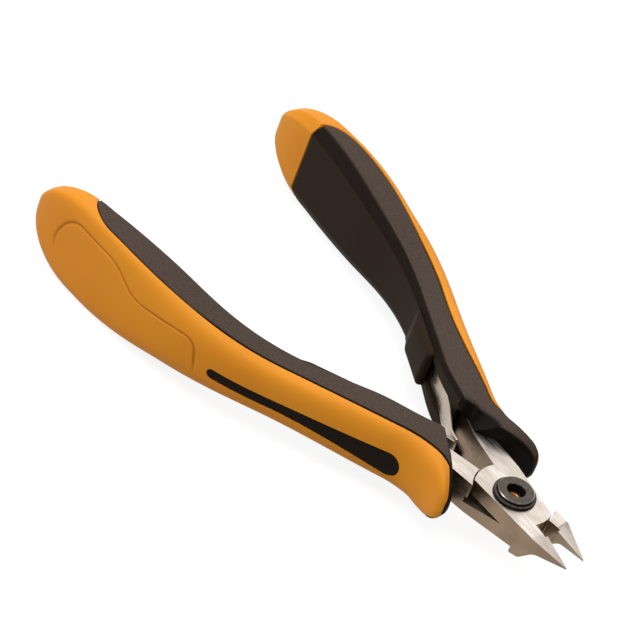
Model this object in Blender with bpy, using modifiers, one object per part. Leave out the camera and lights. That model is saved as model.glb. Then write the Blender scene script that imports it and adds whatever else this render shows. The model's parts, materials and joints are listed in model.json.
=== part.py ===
"""Small diagonal cutting pliers: lap joint, hollow pivot screw, two-colour grips, paired leaf springs.

Each half is drawn closed, in a lever frame: pivot axis on Z, jaws towards +X, cutting line on the
X axis, grip behind and on the +Y side. Half A is half B turned over about X. Both halves are then
swung open by the same angle, which is the rest pose.
"""

import math

import bmesh
import bpy
from mathutils import Matrix

MM = 0.001

# Clearances
FIT_GAP = 0.3 * MM
HARDWARE_GAP = 0.2 * MM
SEAM_GAP = 0.25 * MM

# How far cutters run past what they cut, and the weld of the bodies they leave
CUTTER_OVER = 2.0 * MM
CUTTER_REACH = 40.0 * MM
WELD = 0.002 * MM

# Rest pose
HALF_OPEN = math.radians(6.75)

# Steel levers
LEVER_THICKNESS = 7.0 * MM
LAP_RADIUS = 8.2 * MM
HEAD_REAR_WIDTH = 11.3 * MM
HEAD_FRONT_WIDTH = 8.6 * MM
JAW_LENGTH = 18.6 * MM
JAW_CHEEK_X = 11.2 * MM
JAW_CHEEK_WIDTH = 3.75 * MM
JAW_TIP_WIDTH = 0.4 * MM
JAW_TIP_THICKNESS = 0.5 * MM
JAW_TIP_RISE = 1.6 * MM
JAW_SLOPE_X = 10.7 * MM
JAW_RELIEF_START_X = 8.0 * MM
JAW_RELIEF_END_X = 12.3 * MM
JAW_RELIEF_END_Z = 0.3 * MM
JAW_EDGE_X = 11.4 * MM
JAW_EDGE_NOTCH = 0.65 * MM
JAW_BEVEL_ANGLE = math.radians(18.0)
JAW_CLOSED_GAP = 0.3 * MM
ARM_INNER_START = 0.9 * MM
ARM_OUTER_BEND_X = 15.0 * MM
ARM_INNER_MID_X = 16.5 * MM
ARM_INNER_MID_Y = 2.0 * MM
ARM_INNER_BEND_X = 24.3 * MM
ARM_INNER_BEND_Y = 4.3 * MM
TANG_START_X = 26.0 * MM
TANG_END_X = 70.0 * MM
TANG_WIDTH = 2.2 * MM
TANG_OFFSET = -0.4 * MM

# Pivot hardware
SCREW_HEAD_RADIUS = 3.9 * MM
SCREW_HEAD_HEIGHT = 0.55 * MM
SCREW_SHANK_RADIUS = 2.6 * MM
SCREW_BORE_RADIUS = 1.85 * MM
WASHER_RADIUS = 4.4 * MM
WASHER_THICKNESS = 0.35 * MM
NUT_RADIUS = 3.3 * MM
NUT_THICKNESS = 1.0 * MM
SLEEVE_BORE_RADIUS = 1.1 * MM
SLEEVE_TOP_DEPTH = 2.5 * MM
HEAD_EDGE = 0.3 * MM

# Grip middle line, as distance behind the pivot and its slant
SPINE_START_X = 24.0 * MM
SPINE_START_Y = 6.85 * MM
FRONT_SLANT = math.radians(21.6)
REAR_SLANT = math.radians(2.4)
END_SLANT = math.radians(-3.5)
BEND_START_X = 45.0 * MM
BEND_END_X = 74.0 * MM
HOOK_START_X = 70.0 * MM
HOOK_END_X = 104.0 * MM

# Grip widths, heights and ends
GRIP_END_X = 111.5 * MM
GRIP_NOSE_X = 6.6 * MM
GRIP_FRONT_X = 19.0 * MM
WAIST_X = 47.0 * MM
PALM_X = 92.0 * MM
WIDTH_TAPER_START_X = 74.0 * MM
WIDTH_TAPER_END_X = 100.0 * MM
END_ROUND_START_X = 96.0 * MM
END_WIDTH_ROUND_START_X = 90.0 * MM
GRIP_FRONT_WIDTH = 10.8 * MM
INNER_EASE = 1.6 * MM
INNER_EASE_START_X = 34.0 * MM
INNER_EASE_END_X = 21.0 * MM
GRIP_WAIST_WIDTH = 10.0 * MM
GRIP_END_WIDTH = 7.6 * MM
GRIP_FRONT_HEIGHT = 13.8 * MM
GRIP_WAIST_HEIGHT = 11.6 * MM
GRIP_PALM_HEIGHT = 20.7 * MM
FRONT_CHAMFER_WIDTH = 0.7 * MM
FRONT_CHAMFER_HEIGHT = 1.0 * MM
WAIST_CHAMFER_WIDTH = 1.1 * MM
WAIST_CHAMFER_HEIGHT = 1.8 * MM
PALM_CHAMFER_WIDTH = 1.8 * MM
PALM_CHAMFER_HEIGHT = 3.0 * MM
GRIP_SIDE_ROUND = 3.4 * MM
GRIP_SIDE_POWER = 3.0

# Grip nose: a wing beside the lever, and a fork over the arm in front of the core's step
FLARE_START_X = 23.0 * MM
FLARE_PEAK_X = 9.0 * MM
FLARE_WIDTH = 5.7 * MM
FLARE_POWER = 1.6
NOSE_ROUND_START_X = 18.0 * MM
NOSE_TIP_START_X = 9.5 * MM
NOSE_FACE_X = 18.8 * MM
NOSE_FACE_Y = 0.9 * MM
NOSE_FACE_SLOPE = 0.84
NOSE_RIM = 1.0 * MM
CORE_STEP_X = 23.5 * MM
FORK_SLOPE_RUN = 1.9 * MM
FORK_SLOPE_RISE = 3.5 * MM

# Seam between the dark core and the coloured shell
FRONT_SHELL_DEPTH = 2.6 * MM
WAIST_SHELL_DEPTH = 3.9 * MM
PALM_SHELL_DEPTH = 1.6 * MM
SHELL_FLARE_SHARE = 0.8
CAP_CURVE_START_X = 91.0 * MM
CAP_CURVE_END_X = 99.3 * MM

# Teardrop of core material in the side of the shell
INLAY_FRONT_X = 22.6 * MM
INLAY_FRONT_Z = 1.55 * MM
INLAY_FRONT_RADIUS = 2.5 * MM
INLAY_REAR_X = 58.3 * MM
INLAY_REAR_Z = 1.7 * MM
INLAY_REAR_RADIUS = 0.95 * MM

# Leaf spring and the clip that holds it
LEAF_THICKNESS = 0.5 * MM
LEAF_HEIGHT = 5.3 * MM
LEAF_ANCHOR_X = 47.0 * MM
LEAF_FIRST_BEND_X = 30.5 * MM
LEAF_SECOND_BEND = (19.5 * MM, 1.15 * MM)
LEAF_TIP_X = 16.9 * MM
GROOVE_DEPTH = 1.7 * MM
CLIP_FRONT_X = 37.3 * MM
CLIP_LENGTH = 13.0 * MM
CLIP_HEIGHT = 9.0 * MM
CLIP_DEPTH = 2.0 * MM
CLIP_FRONT_SLOPE = 1.2 * MM
CLIP_REAR_SLOPE = 4.0 * MM
CLIP_EDGE = 0.8 * MM

ROUND_STEPS = 40
ARC_STEPS = 14
NOSE_STATIONS = 9
BODY_STATIONS = 20
END_STATIONS = 8
SIDE_STEPS = 5

STEEL = ("ground_steel", (0.62, 0.57, 0.52), 0.32, 1.0)
SPRING_STEEL = ("spring_steel", (0.55, 0.50, 0.44), 0.28, 1.0)
BLACK_STEEL = ("black_oxide", (0.022, 0.019, 0.017), 0.38, 0.7)
BRASS = ("brass", (0.62, 0.33, 0.10), 0.35, 1.0)
DARK_GRIP = ("dark_grip", (0.055, 0.042, 0.035), 0.62, 0.0)
YELLOW_GRIP = ("yellow_grip", (0.80, 0.33, 0.025), 0.45, 0.0)


def clamp(value):
    return min(1.0, max(0.0, value))


def smooth(start, end, value):
    """0 before start, 1 after end, with no corner between."""
    t = clamp((value - start) / (end - start))
    return t * t * (3.0 - 2.0 * t)


def quarter_round(distance, length):
    """Height of a quarter ellipse of unit height, 0 at the end of the length."""
    return math.sqrt(max(0.0, 1.0 - clamp(distance / length) ** 2))


def arc(radius, start, end, steps):
    """Points on a circle about the pivot, from one angle to the other."""
    angles = [start + (end - start) * i / steps for i in range(steps + 1)]
    return [(radius * math.cos(a), radius * math.sin(a)) for a in angles]


# Grip shape, all as functions of the distance behind the pivot

def spine(x):
    """Y of the middle of the grip: slanted in front, nearly straight behind the bend, hooked in at the end."""
    steps = 48
    total = SPINE_START_Y
    step = (x - SPINE_START_X) / steps
    for i in range(steps):
        middle = SPINE_START_X + (i + 0.5) * step
        slant = FRONT_SLANT + (REAR_SLANT - FRONT_SLANT) * smooth(BEND_START_X, BEND_END_X, middle)
        slant += (END_SLANT - REAR_SLANT) * smooth(HOOK_START_X, HOOK_END_X, middle)
        total += step * math.tan(slant)
    return total


def from_waist(x, front, waist, palm):
    """A size that runs from its front value to its waist value to its palm value."""
    size = front + (waist - front) * smooth(GRIP_FRONT_X, WAIST_X, x)
    return size + (palm - waist) * smooth(WAIST_X, PALM_X, x)


def plain_width(x):
    front = GRIP_FRONT_WIDTH + (GRIP_WAIST_WIDTH - GRIP_FRONT_WIDTH) * smooth(GRIP_FRONT_X, WAIST_X, x)
    return front + (GRIP_END_WIDTH - GRIP_WAIST_WIDTH) * smooth(WIDTH_TAPER_START_X, WIDTH_TAPER_END_X, x)


def flare(x):
    reach = max(0.0, FLARE_START_X - x) / (FLARE_START_X - FLARE_PEAK_X)
    return FLARE_WIDTH * reach ** FLARE_POWER


def nose_face(x):
    """Y of the slanted front face that the lever comes out of."""
    return NOSE_FACE_Y + NOSE_FACE_SLOPE * (NOSE_FACE_X - x)


def end_round(x):
    return quarter_round(max(0.0, x - END_WIDTH_ROUND_START_X), GRIP_END_X - END_WIDTH_ROUND_START_X)


def inner_face(x):
    ease = INNER_EASE * smooth(-INNER_EASE_START_X, -INNER_EASE_END_X, -x)
    return max(spine(x) - 0.5 * plain_width(x) * end_round(x) + ease, nose_face(x))


def outer_face(x):
    y = spine(x) + 0.5 * plain_width(x) * end_round(x) + flare(x)
    tip = quarter_round(max(0.0, NOSE_TIP_START_X - x), NOSE_TIP_START_X - GRIP_NOSE_X)
    inner = inner_face(x)
    return inner + (y - inner) * tip


def half_height(x):
    height = from_waist(x, GRIP_FRONT_HEIGHT, GRIP_WAIST_HEIGHT, GRIP_PALM_HEIGHT)
    nose = quarter_round(max(0.0, NOSE_ROUND_START_X - x), NOSE_ROUND_START_X - GRIP_NOSE_X)
    end = quarter_round(max(0.0, x - END_ROUND_START_X), GRIP_END_X - END_ROUND_START_X)
    return 0.5 * height * nose * end


def seam(x):
    """Y of the upright seam: the core lies on the inner side of it, the shell on the outer side."""
    depth = from_waist(x, FRONT_SHELL_DEPTH, WAIST_SHELL_DEPTH, PALM_SHELL_DEPTH)
    along = spine(x) + 0.5 * plain_width(x) - depth + SHELL_FLARE_SHARE * flare(x)
    rim = nose_face(x) + NOSE_RIM
    cap = quarter_round(max(0.0, x - CAP_CURVE_START_X), CAP_CURVE_END_X - CAP_CURVE_START_X)
    inner = inner_face(x)
    return max(inner + (along - inner) * cap, rim)


def grip_section(x):
    """Closed ring of points: chamfered inner side, flat top and bottom, rounded outer side."""
    inner = inner_face(x)
    outer = outer_face(x)
    height = half_height(x)
    slim = clamp((outer - inner) / GRIP_END_WIDTH) * clamp(2.0 * height / GRIP_WAIST_HEIGHT)
    chamfer_width = slim * from_waist(x, FRONT_CHAMFER_WIDTH, WAIST_CHAMFER_WIDTH, PALM_CHAMFER_WIDTH)
    chamfer_height = slim * from_waist(x, FRONT_CHAMFER_HEIGHT, WAIST_CHAMFER_HEIGHT, PALM_CHAMFER_HEIGHT)
    side = GRIP_SIDE_ROUND * clamp((outer - inner) / GRIP_END_WIDTH)
    upper = [(inner, height - chamfer_height), (inner + chamfer_width, height)]
    for i in range(SIDE_STEPS):
        turn = 0.5 * math.pi * i / SIDE_STEPS
        y = outer - side + side * math.sin(turn) ** (2.0 / GRIP_SIDE_POWER)
        upper.append((y, height * math.cos(turn) ** (2.0 / GRIP_SIDE_POWER)))
    lower = [(y, -z) for y, z in reversed(upper)]
    return upper + [(outer, 0.0)] + lower


def grip_stations():
    """Distances behind the pivot of the grip's sections, closer together at its round ends."""
    tip = 0.02
    nose = [1.0 - math.cos(0.5 * math.pi * (tip + (1.0 - tip) * i / NOSE_STATIONS))
            for i in range(NOSE_STATIONS)]
    end = [math.sin(0.5 * math.pi * (1.0 - tip) * i / END_STATIONS) for i in range(1, END_STATIONS + 1)]
    body_start = NOSE_FACE_X
    body_end = END_ROUND_START_X
    stations = [GRIP_NOSE_X + (body_start - GRIP_NOSE_X) * t for t in nose]
    stations += [body_start + (body_end - body_start) * i / BODY_STATIONS for i in range(BODY_STATIONS + 1)]
    stations += [body_end + (GRIP_END_X - body_end) * t for t in end]
    return stations


# Mesh helpers

def collection(name):
    made = bpy.data.collections.new(name)
    bpy.context.scene.collection.children.link(made)
    return made


def material(spec):
    name, colour, roughness, metallic = spec
    made = bpy.data.materials.new(name)
    made.use_nodes = True
    shader = made.node_tree.nodes["Principled BSDF"]
    shader.inputs["Base Color"].default_value = (*colour, 1.0)
    shader.inputs["Roughness"].default_value = roughness
    shader.inputs["Metallic"].default_value = metallic
    made.diffuse_color = (*colour, 1.0)
    return made


def guide(name, mesh):
    """An object that only shapes other objects."""
    made = bpy.data.objects.new(name, mesh)
    made.hide_render = True
    made.display_type = "WIRE"
    bpy.data.collections["cutters"].objects.link(made)
    return made


def evaluated_mesh(source):
    """Mesh of an object with its modifiers, welded into a closed body."""
    bpy.context.view_layer.update()
    depsgraph = bpy.context.evaluated_depsgraph_get()
    mesh = bpy.data.meshes.new_from_object(source.evaluated_get(depsgraph))
    body = bmesh.new()
    body.from_mesh(mesh)
    bmesh.ops.remove_doubles(body, verts=body.verts, dist=WELD)
    bmesh.ops.dissolve_degenerate(body, edges=body.edges, dist=WELD)
    bmesh.ops.recalc_face_normals(body, faces=body.faces)
    body.to_mesh(mesh)
    body.free()
    return mesh


def plate(name, outline, low, high, turn=None):
    """Flat outline with a thickness from low to high; turn stands it up in another plane."""
    curve = bpy.data.curves.new(name, "CURVE")
    curve.dimensions = "2D"
    curve.fill_mode = "BOTH"
    curve.extrude = 0.5 * (high - low)
    spline = curve.splines.new("POLY")
    spline.points.add(len(outline) - 1)
    for point, (x, y) in zip(spline.points, outline):
        point.co = (x, y, 0.0, 1.0)
    spline.use_cyclic_u = True
    drawn = guide(name + "_outline", curve)
    mesh = evaluated_mesh(drawn)
    bpy.data.objects.remove(drawn)
    mesh.transform(Matrix.Translation((0.0, 0.0, 0.5 * (low + high))))
    if turn is not None:
        mesh.transform(turn)
    return guide(name, mesh)


def turned(name, profile):
    """Solid of revolution about Z from a closed profile of (radius, z) points."""
    body = bmesh.new()
    points = [body.verts.new((radius, 0.0, z)) for radius, z in profile]
    for i, point in enumerate(points):
        body.edges.new((points[i - 1], point))
    mesh = bpy.data.meshes.new(name)
    body.to_mesh(mesh)
    body.free()
    drawn = guide(name + "_profile", mesh)
    screw = drawn.modifiers.new("turn", "SCREW")
    screw.steps = ROUND_STEPS
    screw.render_steps = ROUND_STEPS
    screw.use_merge_vertices = True
    screw.merge_threshold = WELD
    made = evaluated_mesh(drawn)
    bpy.data.objects.remove(drawn)
    return made


def shape(target, tool, operation):
    modifier = target.modifiers.new(tool.name, "BOOLEAN")
    modifier.operation = operation
    modifier.object = tool
    modifier.solver = "EXACT"


def bevel(target, width):
    modifier = target.modifiers.new("edge", "BEVEL")
    modifier.width = width
    modifier.segments = 2
    modifier.limit_method = "ANGLE"


# Steel lever

def arm_inner(x):
    """Y of the arm's inner edge between the lap circle and its bend, which hollows slightly."""
    rise = (ARM_INNER_MID_Y - ARM_INNER_START) / (ARM_INNER_MID_X - LAP_RADIUS)
    if x > ARM_INNER_MID_X:
        rise = (ARM_INNER_BEND_Y - ARM_INNER_MID_Y) / (ARM_INNER_BEND_X - ARM_INNER_MID_X)
    return ARM_INNER_MID_Y + rise * (x - ARM_INNER_MID_X)


def tang_edges(grow):
    """Inner and outer edge of the arm and tang, from the lap circle back to the tang's end."""
    low = TANG_OFFSET - 0.5 * TANG_WIDTH - grow
    high = TANG_OFFSET + 0.5 * TANG_WIDTH + grow
    stations = [TANG_START_X + (TANG_END_X + grow - TANG_START_X) * i / ARC_STEPS for i in range(ARC_STEPS + 1)]
    inner = [(-x, arm_inner(x) - grow) for x in (ARM_INNER_MID_X, ARM_INNER_BEND_X)]
    inner += [(-x, spine(x) + low) for x in stations]
    outer = [(-x, spine(x) + high) for x in reversed(stations)]
    outer.append((-ARM_OUTER_BEND_X, 0.5 * HEAD_REAR_WIDTH + grow))
    return inner, outer


def lever_outline():
    rear = 0.5 * HEAD_REAR_WIDTH
    front = 0.5 * HEAD_FRONT_WIDTH
    edge = 0.5 * JAW_CLOSED_GAP
    throat = edge + JAW_EDGE_NOTCH
    rear_angle = math.asin(rear / LAP_RADIUS)
    front_angle = math.asin(front / LAP_RADIUS)
    arm_angle = math.asin(ARM_INNER_START / LAP_RADIUS)
    throat_angle = math.asin(throat / LAP_RADIUS)
    inner, outer = tang_edges(0.0)
    outline = [
        (JAW_EDGE_X, -throat),
        (JAW_EDGE_X, -edge),
        (JAW_LENGTH, -edge),
        (JAW_LENGTH, -edge - JAW_TIP_WIDTH),
        (JAW_CHEEK_X, -JAW_CHEEK_WIDTH),
        (LAP_RADIUS * math.cos(front_angle), -front),
    ]
    outline += arc(LAP_RADIUS, math.pi + rear_angle, math.pi - arm_angle, ARC_STEPS)
    outline += inner
    outline += outer
    outline.append((-LAP_RADIUS * math.cos(rear_angle), rear))
    outline += arc(LAP_RADIUS, front_angle, -throat_angle, ARC_STEPS)
    return outline


def shape_jaw(lever, up):
    """Slopes the jaw's upper face, relieves its lower face and undercuts its edge; up is the sign of Z."""
    half = 0.5 * LEVER_THICKNESS
    past = JAW_LENGTH + CUTTER_OVER
    width = LAP_RADIUS
    tip_top = JAW_TIP_RISE + 0.5 * JAW_TIP_THICKNESS
    tip_low = JAW_TIP_RISE - 0.5 * JAW_TIP_THICKNESS
    fall = (half - tip_top) / (JAW_LENGTH - JAW_SLOPE_X)
    climb = (tip_low - JAW_RELIEF_END_Z) / (JAW_LENGTH - JAW_RELIEF_END_X)
    upright = Matrix.Rotation(math.radians(90.0), 4, "X")

    top = [
        (JAW_SLOPE_X, up * half),
        (past, up * (tip_top - fall * CUTTER_OVER)),
        (past, up * (half + CUTTER_OVER)),
        (JAW_SLOPE_X, up * (half + CUTTER_OVER)),
    ]
    shape(lever, plate("jaw_slope_cutter", top, -width, width, upright), "DIFFERENCE")

    low = [
        (JAW_RELIEF_START_X, -up * half),
        (JAW_RELIEF_END_X, up * JAW_RELIEF_END_Z),
        (past, up * (tip_low + climb * CUTTER_OVER)),
        (past, -up * (half + CUTTER_OVER)),
        (JAW_RELIEF_START_X, -up * (half + CUTTER_OVER)),
    ]
    shape(lever, plate("jaw_relief_cutter", low, -width, width, upright), "DIFFERENCE")

    edge = -0.5 * JAW_CLOSED_GAP
    deep = LEVER_THICKNESS + CUTTER_OVER
    undercut = [
        (edge, up * CUTTER_OVER),
        (edge, 0.0),
        (edge - deep * math.tan(JAW_BEVEL_ANGLE), -up * deep),
        (width, -up * deep),
        (width, up * CUTTER_OVER),
    ]
    along = Matrix(((0.0, 0.0, 1.0, 0.0), (1.0, 0.0, 0.0, 0.0), (0.0, 1.0, 0.0, 0.0), (0.0, 0.0, 0.0, 1.0)))
    tilt = Matrix.Rotation(up * math.atan(fall), 4, "Y")
    seat = Matrix.Translation((JAW_SLOPE_X, 0.0, up * half)) @ tilt @ along
    start = JAW_EDGE_X - JAW_SLOPE_X
    cutter = plate("jaw_undercut_cutter", undercut, start, past, seat)
    shape(lever, cutter, "DIFFERENCE")


def lever_mesh(up):
    """One lever; up is the sign of Z on the side that its jaw tip rises to."""
    half = 0.5 * LEVER_THICKNESS
    lever = plate("lever_blank", lever_outline(), -half, half)

    circle = arc(LAP_RADIUS + FIT_GAP, 0.0, 2.0 * math.pi, 4 * ARC_STEPS)[:-1]
    shape(lever, plate("lap_cutter", circle, -half - CUTTER_OVER, 0.5 * FIT_GAP), "DIFFERENCE")

    bore = arc(SCREW_SHANK_RADIUS + HARDWARE_GAP, 0.0, 2.0 * math.pi, ROUND_STEPS)[:-1]
    shape(lever, plate("pivot_bore_cutter", bore, -half - CUTTER_OVER, half + CUTTER_OVER), "DIFFERENCE")

    shape_jaw(lever, up)
    return evaluated_mesh(lever)


# Grip

def grip_form(name):
    """Loft through the grip's sections; its unlike ends rule out a plain extrusion."""
    body = bmesh.new()
    rings = []
    for x in grip_stations():
        rings.append([body.verts.new((-x, y, z)) for y, z in grip_section(x)])
    count = len(rings[0])
    for first, second in zip(rings, rings[1:]):
        for i in range(count):
            j = (i + 1) % count
            body.faces.new((first[i], first[j], second[j], second[i]))
    body.faces.new(rings[0])
    body.faces.new(reversed(rings[-1]))
    bmesh.ops.recalc_face_normals(body, faces=body.faces)
    mesh = bpy.data.meshes.new(name)
    body.to_mesh(mesh)
    body.free()
    return guide(name, mesh)


def core_outline(gap):
    """Plan of everything on the inner side of the seam."""
    steps = 6 * BODY_STATIONS
    stations = [CAP_CURVE_END_X * i / steps for i in range(steps + 1)]
    outline = [(-x, seam(x) + gap) for x in stations]
    outline[-1] = (-CAP_CURVE_END_X - gap, inner_face(CAP_CURVE_END_X) + gap)
    outline += [(-CAP_CURVE_END_X - gap, -CUTTER_REACH), (0.0, -CUTTER_REACH)]
    return outline


def inlay_outline(grow):
    """Two unlike circles and their common tangents, in the X and Z of the grip's side."""
    dx = INLAY_REAR_X - INLAY_FRONT_X
    dz = INLAY_REAR_Z - INLAY_FRONT_Z
    front = INLAY_FRONT_RADIUS + grow
    rear = INLAY_REAR_RADIUS + grow
    lean = math.atan2(dz, dx)
    spread = math.acos((front - rear) / math.hypot(dx, dz))
    points = []
    for i in range(ARC_STEPS + 1):
        a = lean + spread + (2.0 * math.pi - 2.0 * spread) * i / ARC_STEPS
        points.append((-INLAY_FRONT_X - front * math.cos(a), INLAY_FRONT_Z + front * math.sin(a)))
    for i in range(ARC_STEPS + 1):
        a = lean - spread + 2.0 * spread * i / ARC_STEPS
        points.append((-INLAY_REAR_X - rear * math.cos(a), INLAY_REAR_Z + rear * math.sin(a)))
    return points


def inlay_plug(name, grow):
    """The inlay outline run outwards through the side of the grip, from inside the core."""
    upright = Matrix.Rotation(math.radians(90.0), 4, "X")
    low = spine(INLAY_FRONT_X)
    high = outer_face(PALM_X)
    return plate(name, inlay_outline(grow), -high, -low, upright)


def groove_floor(x):
    """Y of the straight floor that the leaf spring lies along."""
    front = inner_face(LEAF_FIRST_BEND_X)
    rear = inner_face(LEAF_ANCHOR_X)
    share = (x - LEAF_FIRST_BEND_X) / (LEAF_ANCHOR_X - LEAF_FIRST_BEND_X)
    return front + (rear - front) * share + GROOVE_DEPTH


def fork_slope_cutter(low, tall):
    """Wedge that leans the core back from the arm's inner edge, above the level of the arm."""
    slope = [
        (0.0, low),
        (FORK_SLOPE_RUN, low + FORK_SLOPE_RISE),
        (FORK_SLOPE_RUN, tall),
        (-CUTTER_REACH, tall),
        (-CUTTER_REACH, low),
    ]
    start = (-CORE_STEP_X, arm_inner(CORE_STEP_X))
    run = (CORE_STEP_X - ARM_INNER_MID_X, ARM_INNER_MID_Y - start[1])
    length = math.hypot(*run)
    u = (run[0] / length, run[1] / length)
    seat = Matrix((
        (-u[1], 0.0, u[0], start[0]),
        (u[0], 0.0, u[1], start[1]),
        (0.0, 1.0, 0.0, 0.0),
        (0.0, 0.0, 0.0, 1.0),
    ))
    return plate("fork_slope_cutter", slope, 0.0, CORE_STEP_X - LAP_RADIUS, seat)


def core_mesh():
    half = 0.5 * LEVER_THICKNESS
    tall = GRIP_PALM_HEIGHT
    region = plate("core_region", core_outline(0.0), -tall, tall)
    shape(region, inlay_plug("inlay_plug", 0.0), "UNION")
    core = grip_form("core_blank")
    shape(core, region, "INTERSECT")

    inner, outer = tang_edges(FIT_GAP)
    front = [(-LAP_RADIUS, 0.5 * HEAD_REAR_WIDTH + FIT_GAP), (-LAP_RADIUS, ARM_INNER_START - FIT_GAP)]
    shape(core, plate("tang_pocket_cutter", front + inner + outer, -half - FIT_GAP, half + FIT_GAP), "DIFFERENCE")

    fork = [(-x, arm_inner(x)) for x in (0.0, ARM_INNER_MID_X, CORE_STEP_X)]
    fork += [(-CORE_STEP_X, -CUTTER_REACH), (0.0, -CUTTER_REACH)]
    shape(core, plate("fork_cutter", fork, -half - FIT_GAP, tall), "DIFFERENCE")
    shape(core, fork_slope_cutter(half + FIT_GAP, tall), "DIFFERENCE")

    rear_x = CLIP_FRONT_X + CLIP_LENGTH
    reach = 2.0 * CLIP_DEPTH
    off_floor = FIT_GAP + 0.5 * LEAF_THICKNESS
    bend, second = leaf_path()[1:3]
    groove = [
        (second[0], second[1] + off_floor),
        (bend[0], bend[1] + off_floor),
        (-rear_x, groove_floor(rear_x)),
        (-rear_x, inner_face(rear_x) - reach),
        (second[0], second[1] - reach),
    ]
    wide = 0.5 * LEAF_HEIGHT + FIT_GAP
    shape(core, plate("leaf_groove_cutter", groove, -wide, wide), "DIFFERENCE")
    return evaluated_mesh(core)


def shell_mesh():
    tall = GRIP_PALM_HEIGHT
    shell = grip_form("shell_blank")
    shape(shell, plate("shell_cutter", core_outline(SEAM_GAP), -tall, tall), "DIFFERENCE")
    shape(shell, inlay_plug("inlay_window_cutter", SEAM_GAP), "DIFFERENCE")
    return evaluated_mesh(shell)


# Leaf spring

def to_lever_frame(x, y):
    """A point given in the open rest pose, in the closed frame of the half it belongs to."""
    c = math.cos(HALF_OPEN)
    s = math.sin(HALF_OPEN)
    return (x * c - y * s, x * s + y * c)


def leaf_path():
    """Middle line of the leaf spring, from its anchor along the groove to its free tip."""
    off_floor = FIT_GAP + 0.5 * LEAF_THICKNESS
    second_x, second_y = LEAF_SECOND_BEND
    return [
        (-LEAF_ANCHOR_X, groove_floor(LEAF_ANCHOR_X) - off_floor),
        (-LEAF_FIRST_BEND_X, groove_floor(LEAF_FIRST_BEND_X) - off_floor),
        to_lever_frame(-second_x, second_y),
        to_lever_frame(-LEAF_TIP_X, 0.5 * FIT_GAP + 0.5 * LEAF_THICKNESS),
    ]


def ribbon_outline(path, thickness):
    """Both sides of a path, mitred at its bends."""
    left = []
    right = []
    for i, (x, y) in enumerate(path):
        before = path[max(i - 1, 0)]
        after = path[min(i + 1, len(path) - 1)]
        arrive = math.atan2(y - before[1], x - before[0]) if i > 0 else None
        leave = math.atan2(after[1] - y, after[0] - x) if i < len(path) - 1 else arrive
        arrive = leave if arrive is None else arrive
        heading = 0.5 * (arrive + leave)
        reach = 0.5 * thickness / math.cos(0.5 * (leave - arrive))
        left.append((x - reach * math.sin(heading), y + reach * math.cos(heading)))
        right.append((x + reach * math.sin(heading), y - reach * math.cos(heading)))
    return left + list(reversed(right))


def leaf_mesh():
    half = 0.5 * LEAF_HEIGHT
    return evaluated_mesh(plate("leaf_blank", ribbon_outline(leaf_path(), LEAF_THICKNESS), -half, half))


def clip_mesh():
    rear_x = CLIP_FRONT_X + CLIP_LENGTH
    crest_front = CLIP_FRONT_X + CLIP_FRONT_SLOPE
    crest_rear = rear_x - CLIP_REAR_SLOPE
    outline = [
        (-CLIP_FRONT_X, inner_face(CLIP_FRONT_X) - FIT_GAP),
        (-rear_x, inner_face(rear_x) - FIT_GAP),
        (-crest_rear, inner_face(crest_rear) - FIT_GAP - CLIP_DEPTH),
        (-crest_front, inner_face(crest_front) - FIT_GAP - CLIP_DEPTH),
    ]
    clip = plate("clip_blank", outline, -0.5 * CLIP_HEIGHT, 0.5 * CLIP_HEIGHT)
    bevel(clip, CLIP_EDGE)
    return evaluated_mesh(clip)


# Pivot hardware, all about the pivot axis

def washer_mesh():
    low = 0.5 * LEVER_THICKNESS + HARDWARE_GAP
    high = low + WASHER_THICKNESS
    bore = SCREW_SHANK_RADIUS + HARDWARE_GAP
    return turned("washer", [(bore, high), (WASHER_RADIUS, high), (WASHER_RADIUS, low), (bore, low)])


def head_levels():
    low = 0.5 * LEVER_THICKNESS + WASHER_THICKNESS + 2.0 * HARDWARE_GAP
    return low, low + SCREW_HEAD_HEIGHT


def shank_end():
    return -0.5 * LEVER_THICKNESS - HARDWARE_GAP - NUT_THICKNESS


def screw_mesh():
    low, high = head_levels()
    profile = [
        (SCREW_BORE_RADIUS, high - HEAD_EDGE),
        (SCREW_BORE_RADIUS + HEAD_EDGE, high),
        (SCREW_HEAD_RADIUS - HEAD_EDGE, high),
        (SCREW_HEAD_RADIUS, high - HEAD_EDGE),
        (SCREW_HEAD_RADIUS, low),
        (SCREW_SHANK_RADIUS, low),
        (SCREW_SHANK_RADIUS, shank_end()),
        (SCREW_BORE_RADIUS, shank_end()),
    ]
    return turned("screw", profile)


def nut_mesh():
    high = -0.5 * LEVER_THICKNESS - HARDWARE_GAP
    low = high - NUT_THICKNESS
    bore = SCREW_SHANK_RADIUS + HARDWARE_GAP
    profile = [
        (bore, high),
        (NUT_RADIUS, high),
        (NUT_RADIUS, low + HEAD_EDGE),
        (NUT_RADIUS - HEAD_EDGE, low),
        (bore, low),
    ]
    return turned("nut", profile)


def sleeve_mesh():
    high = head_levels()[1] - SLEEVE_TOP_DEPTH
    low = shank_end()
    outside = SCREW_BORE_RADIUS - HARDWARE_GAP
    return turned("sleeve", [(SLEEVE_BORE_RADIUS, high), (outside, high), (outside, low), (SLEEVE_BORE_RADIUS, low)])


# Assembly

def frame(name, parent=None):
    made = bpy.data.objects.new(name, None)
    bpy.data.collections["cutters"].objects.link(made)
    made.parent = parent
    return made


def place(name, mesh, finish, parent):
    made = bpy.data.objects.new(name, mesh)
    if not mesh.materials:
        mesh.materials.append(finish)
    mesh.shade_smooth()
    mesh.set_sharp_from_angle(angle=math.radians(28.0))
    bpy.data.collections["diagonal_cutting_pliers"].objects.link(made)
    made.parent = parent
    return made


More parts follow.
